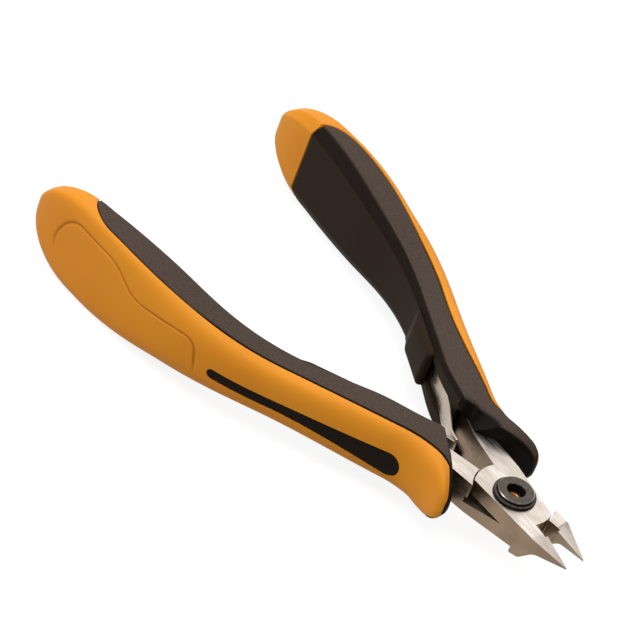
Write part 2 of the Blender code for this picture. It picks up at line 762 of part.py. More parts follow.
def stand_on_floor(root, pieces):
    """Moves the tool so that its box stands on Z = 0 with its middle over the origin."""
    bpy.context.view_layer.update()
    corners = [piece.matrix_world @ vertex.co for piece in pieces for vertex in piece.data.vertices]
    low = [min(corner[axis] for corner in corners) for axis in range(3)]
    high = [max(corner[axis] for corner in corners) for axis in range(3)]
    root.location = (-0.5 * (low[0] + high[0]), -0.5 * (low[1] + high[1]), -low[2])


def main():
    for old in list(bpy.data.objects):
        bpy.data.objects.remove(old)
    collection("diagonal_cutting_pliers")
    collection("cutters")

    finishes = {spec[0]: material(spec)
                for spec in (STEEL, SPRING_STEEL, BLACK_STEEL, BRASS, DARK_GRIP, YELLOW_GRIP)}
    root = frame("pivot_axis")
    half_a = frame("half_a", root)
    half_a.rotation_euler = (math.pi, 0.0, HALF_OPEN)
    half_b = frame("half_b", root)
    half_b.rotation_euler = (0.0, 0.0, -HALF_OPEN)

    pieces = [
        place("lever_a", lever_mesh(-1.0), finishes[STEEL[0]], half_a),
        place("lever_b", lever_mesh(1.0), finishes[STEEL[0]], half_b),
    ]
    half_pieces = [
        ("grip_core", core_mesh(), DARK_GRIP),
        ("outer_shell", shell_mesh(), YELLOW_GRIP),
        ("leaf_spring", leaf_mesh(), SPRING_STEEL),
        ("spring_clip", clip_mesh(), DARK_GRIP),
    ]
    for name, mesh, spec in half_pieces:
        pieces.append(place(name + "_a", mesh, finishes[spec[0]], half_a))
        pieces.append(place(name + "_b", mesh, finishes[spec[0]], half_b))

    hardware = [
        ("pivot_screw", screw_mesh(), BLACK_STEEL),
        ("pivot_washer", washer_mesh(), BLACK_STEEL),
        ("pivot_nut", nut_mesh(), BLACK_STEEL),
        ("pivot_sleeve", sleeve_mesh(), BRASS),
    ]
    for name, mesh, spec in hardware:
        pieces.append(place(name, mesh, finishes[spec[0]], root))

    stand_on_floor(root, pieces)
    bpy.context.view_layer.update()
    print("pivot at", [round(value, 6) for value in root.matrix_world.translation])


main()
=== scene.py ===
"""Diagonal cutting pliers on a pale floor: fine grips, levers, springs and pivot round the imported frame.

Shapes are drawn in millimetres in a lever frame: pivot axis on Z, jaws towards +X, cutting line on the
X axis, grip behind and on the +Y side. Half B is that frame swung open; half A is it turned over first.
"""

import functools
import json
import math

import bmesh
import bpy
import numpy as np
from mathutils import Matrix, Vector


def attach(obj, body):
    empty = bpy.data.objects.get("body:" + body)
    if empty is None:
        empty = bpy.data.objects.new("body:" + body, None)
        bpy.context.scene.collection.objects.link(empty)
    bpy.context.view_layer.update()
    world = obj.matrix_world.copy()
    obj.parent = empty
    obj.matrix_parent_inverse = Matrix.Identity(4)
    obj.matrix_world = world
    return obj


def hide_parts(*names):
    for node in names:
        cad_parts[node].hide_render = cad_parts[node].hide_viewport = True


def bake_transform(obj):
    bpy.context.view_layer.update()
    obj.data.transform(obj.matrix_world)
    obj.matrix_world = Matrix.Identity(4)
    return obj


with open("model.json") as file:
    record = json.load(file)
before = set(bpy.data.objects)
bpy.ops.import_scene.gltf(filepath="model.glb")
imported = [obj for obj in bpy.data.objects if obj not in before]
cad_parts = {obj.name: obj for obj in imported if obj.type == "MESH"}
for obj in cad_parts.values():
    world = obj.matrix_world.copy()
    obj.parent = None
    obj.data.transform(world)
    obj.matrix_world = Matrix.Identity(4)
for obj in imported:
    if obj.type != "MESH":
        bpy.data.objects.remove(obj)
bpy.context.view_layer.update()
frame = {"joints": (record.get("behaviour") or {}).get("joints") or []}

MM = 0.001
HALF_OPEN = math.radians(6.75)
PIVOT = Vector(frame["joints"][0]["pos_m"])
HALVES = {
    "b": Matrix.Translation(PIVOT) @ Matrix.Rotation(-HALF_OPEN, 4, "Z"),
    "a": Matrix.Translation(PIVOT) @ Matrix.Rotation(HALF_OPEN, 4, "Z") @ Matrix.Rotation(math.pi, 4, "X"),
}

# Camera, fitted to the pivot ring, the grips' outlines and the jaw tips
CAMERA_AZIMUTH = math.radians(34.1)
CAMERA_ELEVATION = math.radians(38.9)
CAMERA_ROLL = math.radians(22.1)
CAMERA_DISTANCE = 760.0
CAMERA_AIM = (-56.97, -0.46, 0.0)
FOCAL_PIXELS = 3800.0
IMAGE_PIXELS = 640.0
SENSOR_WIDTH = 36.0

# Clearances and seam rounding
FIT_GAP = 0.3
HARDWARE_GAP = 0.2
SEAM_GAP = 0.25
SEAM_ROUND = 0.22
SEAM_ROUND_SHARE = 0.3
SEAM_ROWS = (0.0, 0.3, 0.6)

# Steel levers
LEVER_THICKNESS = 7.0
LEVER_EDGE = 0.14
LAP_RADIUS = 8.2
HEAD_REAR_WIDTH = 11.3
HEAD_FRONT_WIDTH = 8.6
JAW_LENGTH = 18.6
JAW_CHEEK_X = 11.2
JAW_CHEEK_WIDTH = 3.75
JAW_TIP_WIDTH = 0.2
JAW_TIP_THICKNESS = 0.3
JAW_TIP_RISE = 1.6
JAW_SLOPE_X = 10.7
JAW_RELIEF_START_X = 8.0
JAW_RELIEF_END_X = 12.3
JAW_RELIEF_END_Z = 0.3
JAW_RELIEF_ROUND = 1.6
JAW_RELIEF_STEP = 0.2
JAW_HEEL = ((8.2, -3.35), (9.7, -3.0), (11.0, -1.3))
LAP_WEDGE = ((-6.9, 0.0), (3.2, 0.15), (-6.9, 1.4))
LAP_WEDGE_Y = 2.5
JAW_EDGE_X = 11.4
JAW_EDGE_NOTCH = 0.65
JAW_BEVEL_ANGLE = math.radians(18.0)
JAW_CLOSED_GAP = 0.3
ARM_INNER_START = 0.9
ARM_OUTER_BEND_X = 15.0
ARM_INNER_MID = (16.5, 2.0)
ARM_INNER_BEND = (24.3, 4.3)
TANG_START_X = 26.0
TANG_END_X = 70.0
TANG_WIDTH = 2.2
TANG_OFFSET = -0.4

# Pivot hardware
SCREW_HEAD_RADIUS = 3.9
SCREW_HEAD_HEIGHT = 0.55
SCREW_SHANK_RADIUS = 2.6
SCREW_BORE_RADIUS = 1.85
WASHER_RADIUS = 4.4
WASHER_THICKNESS = 0.35
NUT_RADIUS = 3.3
NUT_THICKNESS = 1.0
SLEEVE_BORE_RADIUS = 1.1
SLEEVE_TOP_DEPTH = 2.1
HEAD_EDGE = 0.3
HARDWARE_BEVEL = 0.15

# Grip middle line
SPINE_START = (24.0, 6.85)
FRONT_SLANT = math.radians(21.6)
REAR_SLANT = math.radians(2.4)
END_SLANT = math.radians(-3.5)
BEND_X = (45.0, 74.0)
HOOK_X = (70.0, 104.0)

# Grip widths, heights and ends
GRIP_END_X = 111.49
GRIP_NOSE_X = 6.6
GRIP_FRONT_X = 19.0
WAIST_X = 47.0
PALM_X = 92.0
WIDTH_TAPER_X = (74.0, 100.0)
END_ROUND_START_X = 96.0
END_WIDTH_ROUND_START_X = 90.0
GRIP_FRONT_WIDTH = 10.8
INNER_EASE = 1.6
INNER_EASE_X = (34.0, 21.0)
BOX_EASE = 0.07
GRIP_WAIST_WIDTH = 10.0
GRIP_END_WIDTH = 7.6
GRIP_FRONT_HEIGHT = 13.8
GRIP_WAIST_HEIGHT = 11.6
GRIP_PALM_HEIGHT = 20.69
FRONT_CHAMFER = (0.7, 1.0)
WAIST_CHAMFER = (1.1, 1.8)
PALM_CHAMFER = (1.8, 3.0)
CHAMFER_ROUND = 0.4
INNER_ROUND_SHARE = 0.4
GRIP_SIDE_ROUND = 3.4
GRIP_SIDE_POWER = (3.0, 5.5)
GRIP_SIDE_POWER_X = (70.0, 92.0)

# Grip nose
FLARE_START_X = 23.0
FLARE_PEAK_X = 9.0
FLARE_WIDTH = 6.5
FLARE_POWER = 1.9
NOSE_ROUND_START_X = 15.0
NOSE_TIP_START_X = 9.5
NOSE_FACE = (18.8, 0.9)
NOSE_FACE_SLOPE = 0.84
NOSE_RIM = 1.0
CORE_STEP_X = 23.5
FORK_EDGE_X = (23.5, 20.0)
FORK_SETBACK = 0.45
FORK_RUN = (0.6, 3.6)
FORK_RUN_X = (20.5, 15.0)
FORK_RISE = 3.5
FORK_OVERLAP = 0.01
NOSE_COVER = 2.2
NOSE_COVER_X = (21.0, 15.0)
THINNEST_COVER = (1.4, 0.7)
THINNEST_COVER_X = (14.0, 9.5)
NOSE_DISH = 0.5
NOSE_DISH_RUN = 4.0
NOSE_SHADE_DEPTH = (1.2, 0.2)
NOSE_SHADE_REAR = (0.8, -1.6)

# Seam between core and shell
FRONT_SHELL_DEPTH = 2.6
WAIST_SHELL_DEPTH = 3.9
PALM_SHELL_DEPTH = 1.6
SHELL_FLARE_SHARE = 0.8
CAP_CURVE_X = (91.0, 99.3)
THINNEST_WEDGE = 0.35
REAR_SEAM_SHIFT = 0.6
REAR_SEAM_X = (52.0, 66.0)
# Dark line of painted shade on the core along the seam, within these distances of it, fading out towards
# the rear between these distances behind the pivot
SEAM_LINE = (0.40, 0.12)
SEAM_LINE_X = (72.0, 60.0)
# Fades of the painted light on the top strip and the painted shade on the chamfer, from their edges
CREST_FADE = (-0.2, 0.15)
CHAMFER_FADE = (-0.15, 0.25)

# Teardrop inlay, its pairs from rear to front, and the engraved line on the shell's side, its corners as
# distance behind the pivot and height
INLAY_X = (58.3, 22.4)
INLAY_EDGE_Z = (0.40, -1.15)
INLAY_EDGE_SAG = 0.28
INLAY_HALF_WIDTH = (1.0, 2.7)
INLAY_WIDEN_START = 0.35
INLAY_WIDEN_POWER = 1.6
INLAY_GAP = 0.16
INLAY_SUNK = 0.06
INLAY_BODY_X = (17.0, 62.0)
PANEL_CORNERS = ((101.0, 8.3), (103.7, 1.0), (101.4, -4.0), (98.6, -6.3), (86.4, -6.1), (79.6, -1.75),
                 (63.8, -3.4), (61.9, 4.4))
PANEL_CORNER_ROUND = 3.0
PANEL_LINE_STEP = 0.1
PANEL_FADE_Z = (0.5, 6.0)
PANEL_LINE_HALF_WIDTH = 0.40
PANEL_LINE_DEPTH = 0.28
PANEL_LINE_POWER = 1.5

# Leaf springs and clips
LEAF_THICKNESS = 0.5
LEAF_HEIGHT = 5.3
LEAF_ANCHOR_X = 47.0
LEAF_FIRST_BEND_X = 30.5
LEAF_SECOND_BEND = (19.5, 1.15)
LEAF_TIP_X = 16.9
LEAF_BOW = (-25.0, 6.1)
LEAF_BEND_ROUND = 2.2
LEAF_EDGE = 0.08
LEAF_OFF_FLOOR = FIT_GAP + 0.5 * LEAF_THICKNESS
GROOVE_DEPTH = 1.7
GROOVE_REAR_X = 47.6
CLIP_FRONT_X = 37.3
CLIP_LENGTH = 13.0
CLIP_HEIGHT = 9.0
CLIP_DEPTH = 2.0
CLIP_FRONT_SLOPE = 1.2
CLIP_REAR_SLOPE = 4.0
CLIP_SIDE_POWER = 3.6
CLIP_GAP = 0.05
CLIP_THINNEST = 0.05
CLIP_FRONT_DROP = 0.14
CLIP_REAR_EDGE = 0.3
CLIP_BASE_SHARE = 0.97

# Finishes, floor and light
# Painted shade on the steel towards the grips, rising from none at the second distance behind the pivot to
# its most at the first
ARM_SHADE_X = (23.0, 13.0)
FLOOR_REACH = 2000.0
FLOOR_LEVELS = (-2.0, -0.1)
FLOOR_GLOW = 0.84
SKY_STRENGTH = 0.32

# Mesh resolution and working values
NOSE_STATIONS = 56
FRONT_STEP = 0.5
REAR_STEP = 0.2
FINE_START_X = 56.0
END_STATIONS = 60
ROUND_STEPS = 96
ARC_STEPS = 28
BEND_STEPS = 8
CORNER_STEPS = 4
SPINE_STEPS = 48
INNER_STEPS = 9
SHOULDER_STEPS = 8
CORE_TOP_STEPS = 14
SHELL_TOP_STEPS = 10
SHELL_SIDE_STEPS = 64
INLAY_SIDE_STEPS = 40
SIDE_OVERSAMPLING = 20
CLIP_STATIONS = 60
CLIP_SIDE_STEPS = 20
CLIP_BASE_STEPS = 5
END_TRIM = 0.03
CORNER_SHARE = 0.45
WELD = 0.002
SMALLEST = 1e-6
SHARP_ANGLE = 30.0
LEVER_SHARP_ANGLE = 20.0
BEVEL_ANGLE = 32.0
BEVEL_SEGMENTS = 2
OVER = 2.0
QUARTER_TURN = 0.5 * math.pi
UPRIGHT = Matrix.Rotation(math.radians(90.0), 4, "X")


# Small maths

def smooth(start, end, value):
    t = min(1.0, max(0.0, (value - start) / (end - start)))
    return t * t * (3.0 - 2.0 * t)


def quarter_round(distance, length):
    """Height of a quarter ellipse of unit height, 0 at the end of the length."""
    return math.sqrt(max(0.0, 1.0 - min(1.0, max(0.0, distance) / length) ** 2))


def arc(radius, start, end, steps):
    return [(radius * math.cos(a), radius * math.sin(a)) for a in np.linspace(start, end, steps + 1)]


def bezier(first, corner, last, steps):
    """Points of a rounded corner, its ends included."""
    first, corner, last = np.array(first), np.array(corner), np.array(last)
    return [tuple((1 - t) ** 2 * first + 2 * t * (1 - t) * corner + t * t * last)
            for t in np.linspace(0.0, 1.0, steps + 1)]


def rounded_path(points, radius, steps):
    """An open path with its inner corners rounded."""
    path = [points[0]]
    for before, corner, after in zip(points, points[1:], points[2:]):
        corner = np.array(corner)
        to_before = np.array(before) - corner
        to_after = np.array(after) - corner
        length_before = np.linalg.norm(to_before)
        length_after = np.linalg.norm(to_after)
        reach = min(radius, CORNER_SHARE * length_before, CORNER_SHARE * length_after)
        first = corner + reach * to_before / length_before
        last = corner + reach * to_after / length_after
        path += bezier(first, corner, last, steps)
    return path + [points[-1]]


def evenly(path, spacing):
    """Points along an open path at an even spacing."""
    path = np.array(path)
    run = np.concatenate([[0.0], np.cumsum(np.linalg.norm(np.diff(path, axis=0), axis=1))])
    places = np.arange(0.0, run[-1], spacing)
    return np.stack([np.interp(places, run, path[:, 0]), np.interp(places, run, path[:, 1])], axis=1)


# Grip shape, as functions of the distance behind the pivot

@functools.lru_cache(maxsize=None)
def spine(x):
    total = SPINE_START[1]
    step = (x - SPINE_START[0]) / SPINE_STEPS
    for i in range(SPINE_STEPS):
        middle = SPINE_START[0] + (i + 0.5) * step
        slant = FRONT_SLANT + (REAR_SLANT - FRONT_SLANT) * smooth(*BEND_X, middle)
        slant += (END_SLANT - REAR_SLANT) * smooth(*HOOK_X, middle)
        total += step * math.tan(slant)
    return total


def from_waist(x, front, waist, palm):
    size = front + (waist - front) * smooth(GRIP_FRONT_X, WAIST_X, x)
    return size + (palm - waist) * smooth(WAIST_X, PALM_X, x)


def plain_width(x):
    front = GRIP_FRONT_WIDTH + (GRIP_WAIST_WIDTH - GRIP_FRONT_WIDTH) * smooth(GRIP_FRONT_X, WAIST_X, x)
    return front + (GRIP_END_WIDTH - GRIP_WAIST_WIDTH) * smooth(*WIDTH_TAPER_X, x)


def flare(x):
    return FLARE_WIDTH * (max(0.0, FLARE_START_X - x) / (FLARE_START_X - FLARE_PEAK_X)) ** FLARE_POWER


def nose_face(x):
    return NOSE_FACE[1] + NOSE_FACE_SLOPE * (NOSE_FACE[0] - x)


def end_round(x):
    return quarter_round(x - END_WIDTH_ROUND_START_X, GRIP_END_X - END_WIDTH_ROUND_START_X)


def inner_face(x):
    ease = INNER_EASE * smooth(*INNER_EASE_X, x)
    return max(spine(x) - 0.5 * plain_width(x) * end_round(x) + ease, nose_face(x))


def outer_face(x):
    y = spine(x) + 0.5 * plain_width(x) * end_round(x) + flare(x) - BOX_EASE
    inner = inner_face(x)
    return inner + (y - inner) * quarter_round(NOSE_TIP_START_X - x, NOSE_TIP_START_X - GRIP_NOSE_X)


def half_height(x):
    height = from_waist(x, GRIP_FRONT_HEIGHT, GRIP_WAIST_HEIGHT, GRIP_PALM_HEIGHT)
    nose = quarter_round(NOSE_ROUND_START_X - x, NOSE_ROUND_START_X - GRIP_NOSE_X)
    return 0.5 * height * nose * quarter_round(x - END_ROUND_START_X, GRIP_END_X - END_ROUND_START_X)


def seam(x):
    depth = from_waist(x, FRONT_SHELL_DEPTH, WAIST_SHELL_DEPTH, PALM_SHELL_DEPTH)
    along = spine(x) + 0.5 * plain_width(x) - depth + SHELL_FLARE_SHARE * flare(x)
    inner = inner_face(x)
    cap = quarter_round(x - CAP_CURVE_X[0], CAP_CURVE_X[1] - CAP_CURVE_X[0])
    return max(inner + (along - inner) * cap, nose_face(x) + NOSE_RIM)


def seam_on(side, x):
    """The seam on the +Z (1) or -Z (-1) side; on +Z the core covers more of the nose, less of the rear."""
    plain = seam(x)
    if side < 0.0:
        return plain
    rear = REAR_SEAM_SHIFT * smooth(*REAR_SEAM_X, x) * smooth(CAP_CURVE_X[1], CAP_CURVE_X[0], x)
    cover = plain + NOSE_COVER * smooth(*NOSE_COVER_X, x)
    thinnest = THINNEST_COVER[0] + (THINNEST_COVER[1] - THINNEST_COVER[0]) * smooth(*THINNEST_COVER_X, x)
    return max(plain, min(cover, outer_face(x) - thinnest)) - rear


class Section:
    """One cross-section of the grip; points are (y, z) on its upper half."""

    def __init__(self, x):
        self.inner = inner_face(x)
        self.outer = outer_face(x)
        self.height = half_height(x)
        width = self.outer - self.inner
        slim = min(1.0, width / GRIP_END_WIDTH) * min(1.0, 2.0 * self.height / GRIP_WAIST_HEIGHT)
        self.chamfer_width = slim * from_waist(x, FRONT_CHAMFER[0], WAIST_CHAMFER[0], PALM_CHAMFER[0])
        self.chamfer_height = slim * from_waist(x, FRONT_CHAMFER[1], WAIST_CHAMFER[1], PALM_CHAMFER[1])
        self.side = GRIP_SIDE_ROUND * min(1.0, width / GRIP_END_WIDTH)
        soft, crisp = GRIP_SIDE_POWER
        self.power = soft + (crisp - soft) * smooth(*GRIP_SIDE_POWER_X, x)
        self.dish = NOSE_DISH * smooth(0.0, NOSE_DISH_RUN, NOSE_FACE[0] - x) * slim

    def top(self, y):
        """Height of the surface over y: chamfer, flat and rounded side, blended at the chamfer's edge."""
        rise = self.chamfer_height * (y - self.inner) / max(self.chamfer_width, SMALLEST)
        chamfer = self.height - self.chamfer_height + rise
        beyond = min(1.0, max(0.0, (y - self.outer + self.side) / self.side))
        flat = self.height * (1.0 - beyond ** self.power) ** (1.0 / self.power)
        blend = CHAMFER_ROUND * min(1.0, self.chamfer_width)
        mix = min(1.0, max(0.0, 0.5 + 0.5 * (flat - chamfer) / max(blend, SMALLEST)))
        return max(0.0, flat + (chamfer - flat) * mix - blend * mix * (1.0 - mix))

    def inner_side(self, steps):
        """Inner face from the middle up to the start of the chamfer, dished at the nose."""
        edge = self.height - self.chamfer_height
        reach = min(CHAMFER_ROUND, INNER_ROUND_SHARE * edge, self.chamfer_height)
        points = [(self.inner, z) for z in np.linspace(0.0, edge - reach, steps)]
        share = reach / max(self.chamfer_height, SMALLEST)
        last = (self.inner + share * self.chamfer_width, edge + reach)
        points += bezier(points[-1], (self.inner, edge), last, CORNER_STEPS)[1:]
        return [(y + self.dish * (1.0 - min(1.0, (z / max(edge, SMALLEST)) ** 2)), z) for y, z in points]

    def side_points(self, start, count):
        """Evenly spaced points down the rounded side, from y = start to the middle."""
        begun = min(1.0, max(0.0, (start - self.outer + self.side) / self.side))
        first = math.asin(begun ** (0.5 * self.power))
        turns = np.linspace(first, QUARTER_TURN, SIDE_OVERSAMPLING * count)
        ys = self.outer - self.side + self.side * np.sin(turns) ** (2.0 / self.power)
        zs = self.height * np.maximum(np.cos(turns), 0.0) ** (2.0 / self.power)
        run = np.concatenate([[0.0], np.cumsum(np.hypot(np.diff(ys), np.diff(zs)))])
        even = np.linspace(0.0, run[-1], count)
        return list(zip(np.interp(even, run, ys), np.interp(even, run, zs)))

    def over_top(self, start, end, steps):
        """Points of the surface between two values of y, closer together towards both."""
        turns = np.linspace(0.0, math.pi, steps)
        ys = [start + (end - start) * 0.5 * (1.0 - math.cos(t)) for t in turns]
        return [(y, self.top(y)) for y in ys]


def core_ring(x, side):
    section = Section(x)
    split = min(seam_on(side, x), section.outer)
    share = SEAM_ROUND_SHARE
    soft = min(SEAM_ROUND, share * (split - section.inner), share * section.top(split))
    points = section.inner_side(INNER_STEPS)
    points = [(min(y, split - soft), z) for y, z in points]
    shoulder = min(section.inner + section.chamfer_width + CHAMFER_ROUND, split - soft)
    points += section.over_top(points[-1][0], shoulder, SHOULDER_STEPS)[1:]
    points += section.over_top(shoulder, split - soft, CORE_TOP_STEPS)[1:]
    top = section.top(split)
    points += bezier(points[-1], (split, top), (split, top - soft), CORNER_STEPS)[1:]
    points += [(split, row * (top - soft)) for row in reversed(SEAM_ROWS)]
    return points


def shell_ring(x, side):
    section = Section(x)
    open_end = x > CAP_CURVE_X[1]
    split = section.inner if open_end else seam_on(side, x) + SEAM_GAP
    top = section.top(split)
    soft = min(SEAM_ROUND, SEAM_ROUND_SHARE * (section.outer - split), SEAM_ROUND_SHARE * top)
    points = [(split, row * (top - soft)) for row in SEAM_ROWS]
    last = (split + soft, section.top(split + soft))
    points += bezier((split, top - soft), (split, top), last, CORNER_STEPS)
    start = points[-1][0]
    shoulder = max(start, section.inner + section.chamfer_width + CHAMFER_ROUND)
    side_start = max(shoulder, section.outer - section.side)
    points += section.over_top(start, shoulder, SHOULDER_STEPS)[1:]
    points += section.over_top(shoulder, side_start, SHELL_TOP_STEPS)[1:]
    return points + section.side_points(side_start, SHELL_SIDE_STEPS)[1:]


def inlay_ring(x, side):
    """The outer side of the section, drawn in a little, for the face of the inlay."""
    section = Section(x)
    rim = section.outer - section.side
    middle = min(seam(x), rim) - SEAM_GAP
    points = [(middle, 0.0), (middle, section.height)] + section.side_points(rim, INLAY_SIDE_STEPS)
    return [(y - INLAY_SUNK, z) for y, z in points]


def stations(first, last):
    """Distances behind the pivot, closer together at the round ends and along the engraved line."""
    nose = NOSE_FACE[0] - GRIP_NOSE_X
    end = GRIP_END_X - END_ROUND_START_X
    nose_turns = np.linspace(END_TRIM, QUARTER_TURN, NOSE_STATIONS)
    end_turns = np.linspace(0.0, QUARTER_TURN - END_TRIM, END_STATIONS)
    found = [GRIP_NOSE_X + nose * (1.0 - math.cos(turn)) for turn in nose_turns]
    found += list(np.arange(NOSE_FACE[0] + FRONT_STEP, FINE_START_X, FRONT_STEP))
    found += list(np.arange(FINE_START_X, END_ROUND_START_X, REAR_STEP))
    found += [END_ROUND_START_X + end * math.sin(turn) for turn in end_turns]
    return [x for x in found if first <= x <= last]


# Mesh helpers

def new_object(name, mesh):
    made = bpy.data.objects.new(name, mesh)
    bpy.context.scene.collection.objects.link(made)
    return made


def loft(name, ring, xs):
    """Closed body through rings; ring(x, side) gives the points of their +Z (1) or -Z (-1) side."""
    sections = []
    for x in xs:
        lower = [(-x, y, -z) for y, z in reversed(ring(x, -1.0)[1:])]
        sections.append([(-x, y, z) for y, z in ring(x, 1.0)] + lower)
    return skin(name, sections)


def skin(name, sections):
    """Closed body through rings of points, capped at both ends."""
    body = bmesh.new()
    loops = [[body.verts.new(point) for point in points] for points in sections]
    count = len(loops[0])
    for first, second in zip(loops, loops[1:]):
        for i in range(count):
            j = (i + 1) % count
            body.faces.new((first[i], first[j], second[j], second[i]))
    body.faces.new(loops[0])
    body.faces.new(reversed(loops[-1]))
    bmesh.ops.remove_doubles(body, verts=body.verts, dist=WELD)
    bmesh.ops.dissolve_degenerate(body, edges=body.edges, dist=WELD)
    bmesh.ops.recalc_face_normals(body, faces=body.faces)
    mesh = bpy.data.meshes.new(name)
    body.to_mesh(mesh)
    body.free()
    return new_object(name, mesh)


def prism(name, outline, low, high, turn=None):
    """Flat outline with a thickness from low to high; turn stands it up in another plane."""
    body = bmesh.new()
    bottom = [body.verts.new((x, y, low)) for x, y in outline]
    face = body.faces.new(bottom)
    raised = bmesh.ops.extrude_face_region(body, geom=[face])["geom"]
    lifted = [part for part in raised if isinstance(part, bmesh.types.BMVert)]
    bmesh.ops.translate(body, verts=lifted, vec=(0.0, 0.0, high - low))
    if turn is not None:
        bmesh.ops.transform(body, matrix=turn, verts=body.verts)
    bmesh.ops.recalc_face_normals(body, faces=body.faces)
    mesh = bpy.data.meshes.new(name)
    body.to_mesh(mesh)
    body.free()
    return new_object(name, mesh)


def apply_modifiers(source):
    """Replaces an object's mesh with the result of its modifiers."""
    bpy.context.view_layer.update()
    depsgraph = bpy.context.evaluated_depsgraph_get()
    mesh = bpy.data.meshes.new_from_object(source.evaluated_get(depsgraph))
    mesh.materials.clear()
    source.modifiers.clear()
    source.data = mesh


def cut(target, tool, operation="DIFFERENCE"):
    modifier = target.modifiers.new("cut", "BOOLEAN")
    modifier.operation = operation
    modifier.object = tool
    modifier.solver = "EXACT"
    apply_modifiers(target)
    bpy.data.objects.remove(tool)


def ease_edges(target, width):
    modifier = target.modifiers.new("edges", "BEVEL")
    modifier.width = width
    modifier.segments = BEVEL_SEGMENTS
    modifier.limit_method = "ANGLE"
    modifier.angle_limit = math.radians(BEVEL_ANGLE)
    apply_modifiers(target)


def turned(name, profile, shiny=()):
    """Solid of revolution about Z from a closed profile; the shiny runs of it take the second material."""
    body = bmesh.new()
    loops = []
    for angle in np.linspace(0.0, 2.0 * math.pi, ROUND_STEPS, endpoint=False):
        loops.append([body.verts.new((r * math.cos(angle), r * math.sin(angle), z)) for r, z in profile])
    count = len(profile)
    for k, loop in enumerate(loops):
        after = loops[(k + 1) % ROUND_STEPS]
        for i in range(count):
            j = (i + 1) % count
            face = body.faces.new((loop[i], after[i], after[j], loop[j]))
            face.material_index = 1 if i in shiny else 0
    bmesh.ops.recalc_face_normals(body, faces=body.faces)
    mesh = bpy.data.meshes.new(name)
    body.to_mesh(mesh)
    body.free()
    return new_object(name, mesh)


def dress(piece, materials, place, node, sharp=SHARP_ANGLE):
    """Puts a piece drawn in millimetres into its place, in the node's stead if there is one."""
    mesh = piece.data
    mesh.transform(Matrix.Scale(MM, 4))
    mesh.transform(place)
    for finish in materials:
        mesh.materials.append(finish)
    mesh.shade_smooth()
    mesh.set_sharp_from_angle(angle=math.radians(sharp))
    if node is not None:
        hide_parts(node)
    return piece


# Materials

class Finish:
    """A principled material with a few short ways to add procedural detail."""

    def __init__(self, name, colour, roughness, metallic=0.0):
        self.material = bpy.data.materials.new(name)
        self.material.use_nodes = True
        self.tree = self.material.node_tree
        self.shader = self.tree.nodes["Principled BSDF"]
        self.shader.inputs["Base Color"].default_value = (*colour, 1.0)
        self.shader.inputs["Roughness"].default_value = roughness
        self.shader.inputs["Metallic"].default_value = metallic
        self.place = self.node("ShaderNodeTexCoord").outputs["Object"]

    def node(self, kind, **inputs):
        made = self.tree.nodes.new(kind)
        for name, value in inputs.items():
            self.feed(made.inputs[name], value)
        return made

    def feed(self, socket, value):
        if isinstance(value, bpy.types.NodeSocket):
            self.tree.links.new(value, socket)
        else:
            socket.default_value = value

    def noise(self, scale, detail, stretch=(1.0, 1.0, 1.0), turn=0.0):
        mapping = self.node("ShaderNodeMapping", Vector=self.place, Scale=stretch)
        mapping.inputs["Rotation"].default_value = (0.0, 0.0, turn)
        made = self.node("ShaderNodeTexNoise", Vector=mapping.outputs["Vector"], Scale=scale, Detail=detail)
        return made.outputs["Fac"]

    def arithmetic(self, operation, first, second=None):
        """Result of a Math node on one or two values."""
        made = self.node("ShaderNodeMath")
        made.operation = operation
        self.feed(made.inputs[0], first)
        if second is not None:
            self.feed(made.inputs[1], second)
        return made.outputs[0]

    def ramp(self, value, low, high, start=0.0, end=1.0):
        """Maps a value between two limits smoothly to a new range."""
        made = self.node("ShaderNodeMapRange", Value=value)
        made.interpolation_type = "SMOOTHSTEP"
        for name, number in (("From Min", low), ("From Max", high), ("To Min", start), ("To Max", end)):
            made.inputs[name].default_value = number
        return made.outputs["Result"]

    def mix(self, share, first, second):
        made = self.node("ShaderNodeMix")
        made.data_type = "RGBA"
        for socket, value in ((made.inputs[0], share), (made.inputs[6], first), (made.inputs[7], second)):
            value = (*value, 1.0) if isinstance(value, tuple) and len(value) == 3 else value
            self.feed(socket, value)
        return made.outputs[2]

    def upness(self):
        """How far a face lies level, from 0 upright to 1."""
        normal = self.node("ShaderNodeNewGeometry").outputs["True Normal"]
        split = self.node("ShaderNodeSeparateXYZ", Vector=normal)
        return self.arithmetic("ABSOLUTE", split.outputs["Z"])

    def attribute(self, name):
        made = self.node("ShaderNodeAttribute")
        made.attribute_name = name
        return made.outputs["Fac"]

    def colour(self, value):
        self.feed(self.shader.inputs["Base Color"], value)

    def roughness(self, value):
        self.feed(self.shader.inputs["Roughness"], value)

    def bump(self, height, depth, strength):
        made = self.node("ShaderNodeBump", Height=height, Distance=depth * MM, Strength=strength)
        self.feed(self.shader.inputs["Normal"], made.outputs["Normal"])


def yellow_finish():
    made = Finish("yellow_grip", (0.80, 0.33, 0.025), 0.48)
    broad = made.noise(45.0, 2.0)
    plain = made.mix(made.ramp(broad, 0.3, 0.7), (0.84, 0.296, 0.017), (0.90, 0.335, 0.021))
    # Painted shade: the yellow darkens to a deep orange-brown inside the engraved panel groove
    line = made.ramp(made.attribute("line"), 0.15, 0.9, 0.0, 0.7)
    made.colour(made.mix(line, plain, (0.45, 0.13, 0.006)))
    fine = made.noise(2600.0, 2.0)
    made.roughness(made.ramp(fine, 0.2, 0.8, 0.44, 0.56))
    made.bump(fine, 0.012, 0.5)
    made.shader.inputs["Specular IOR Level"].default_value = 0.18
    return made.material


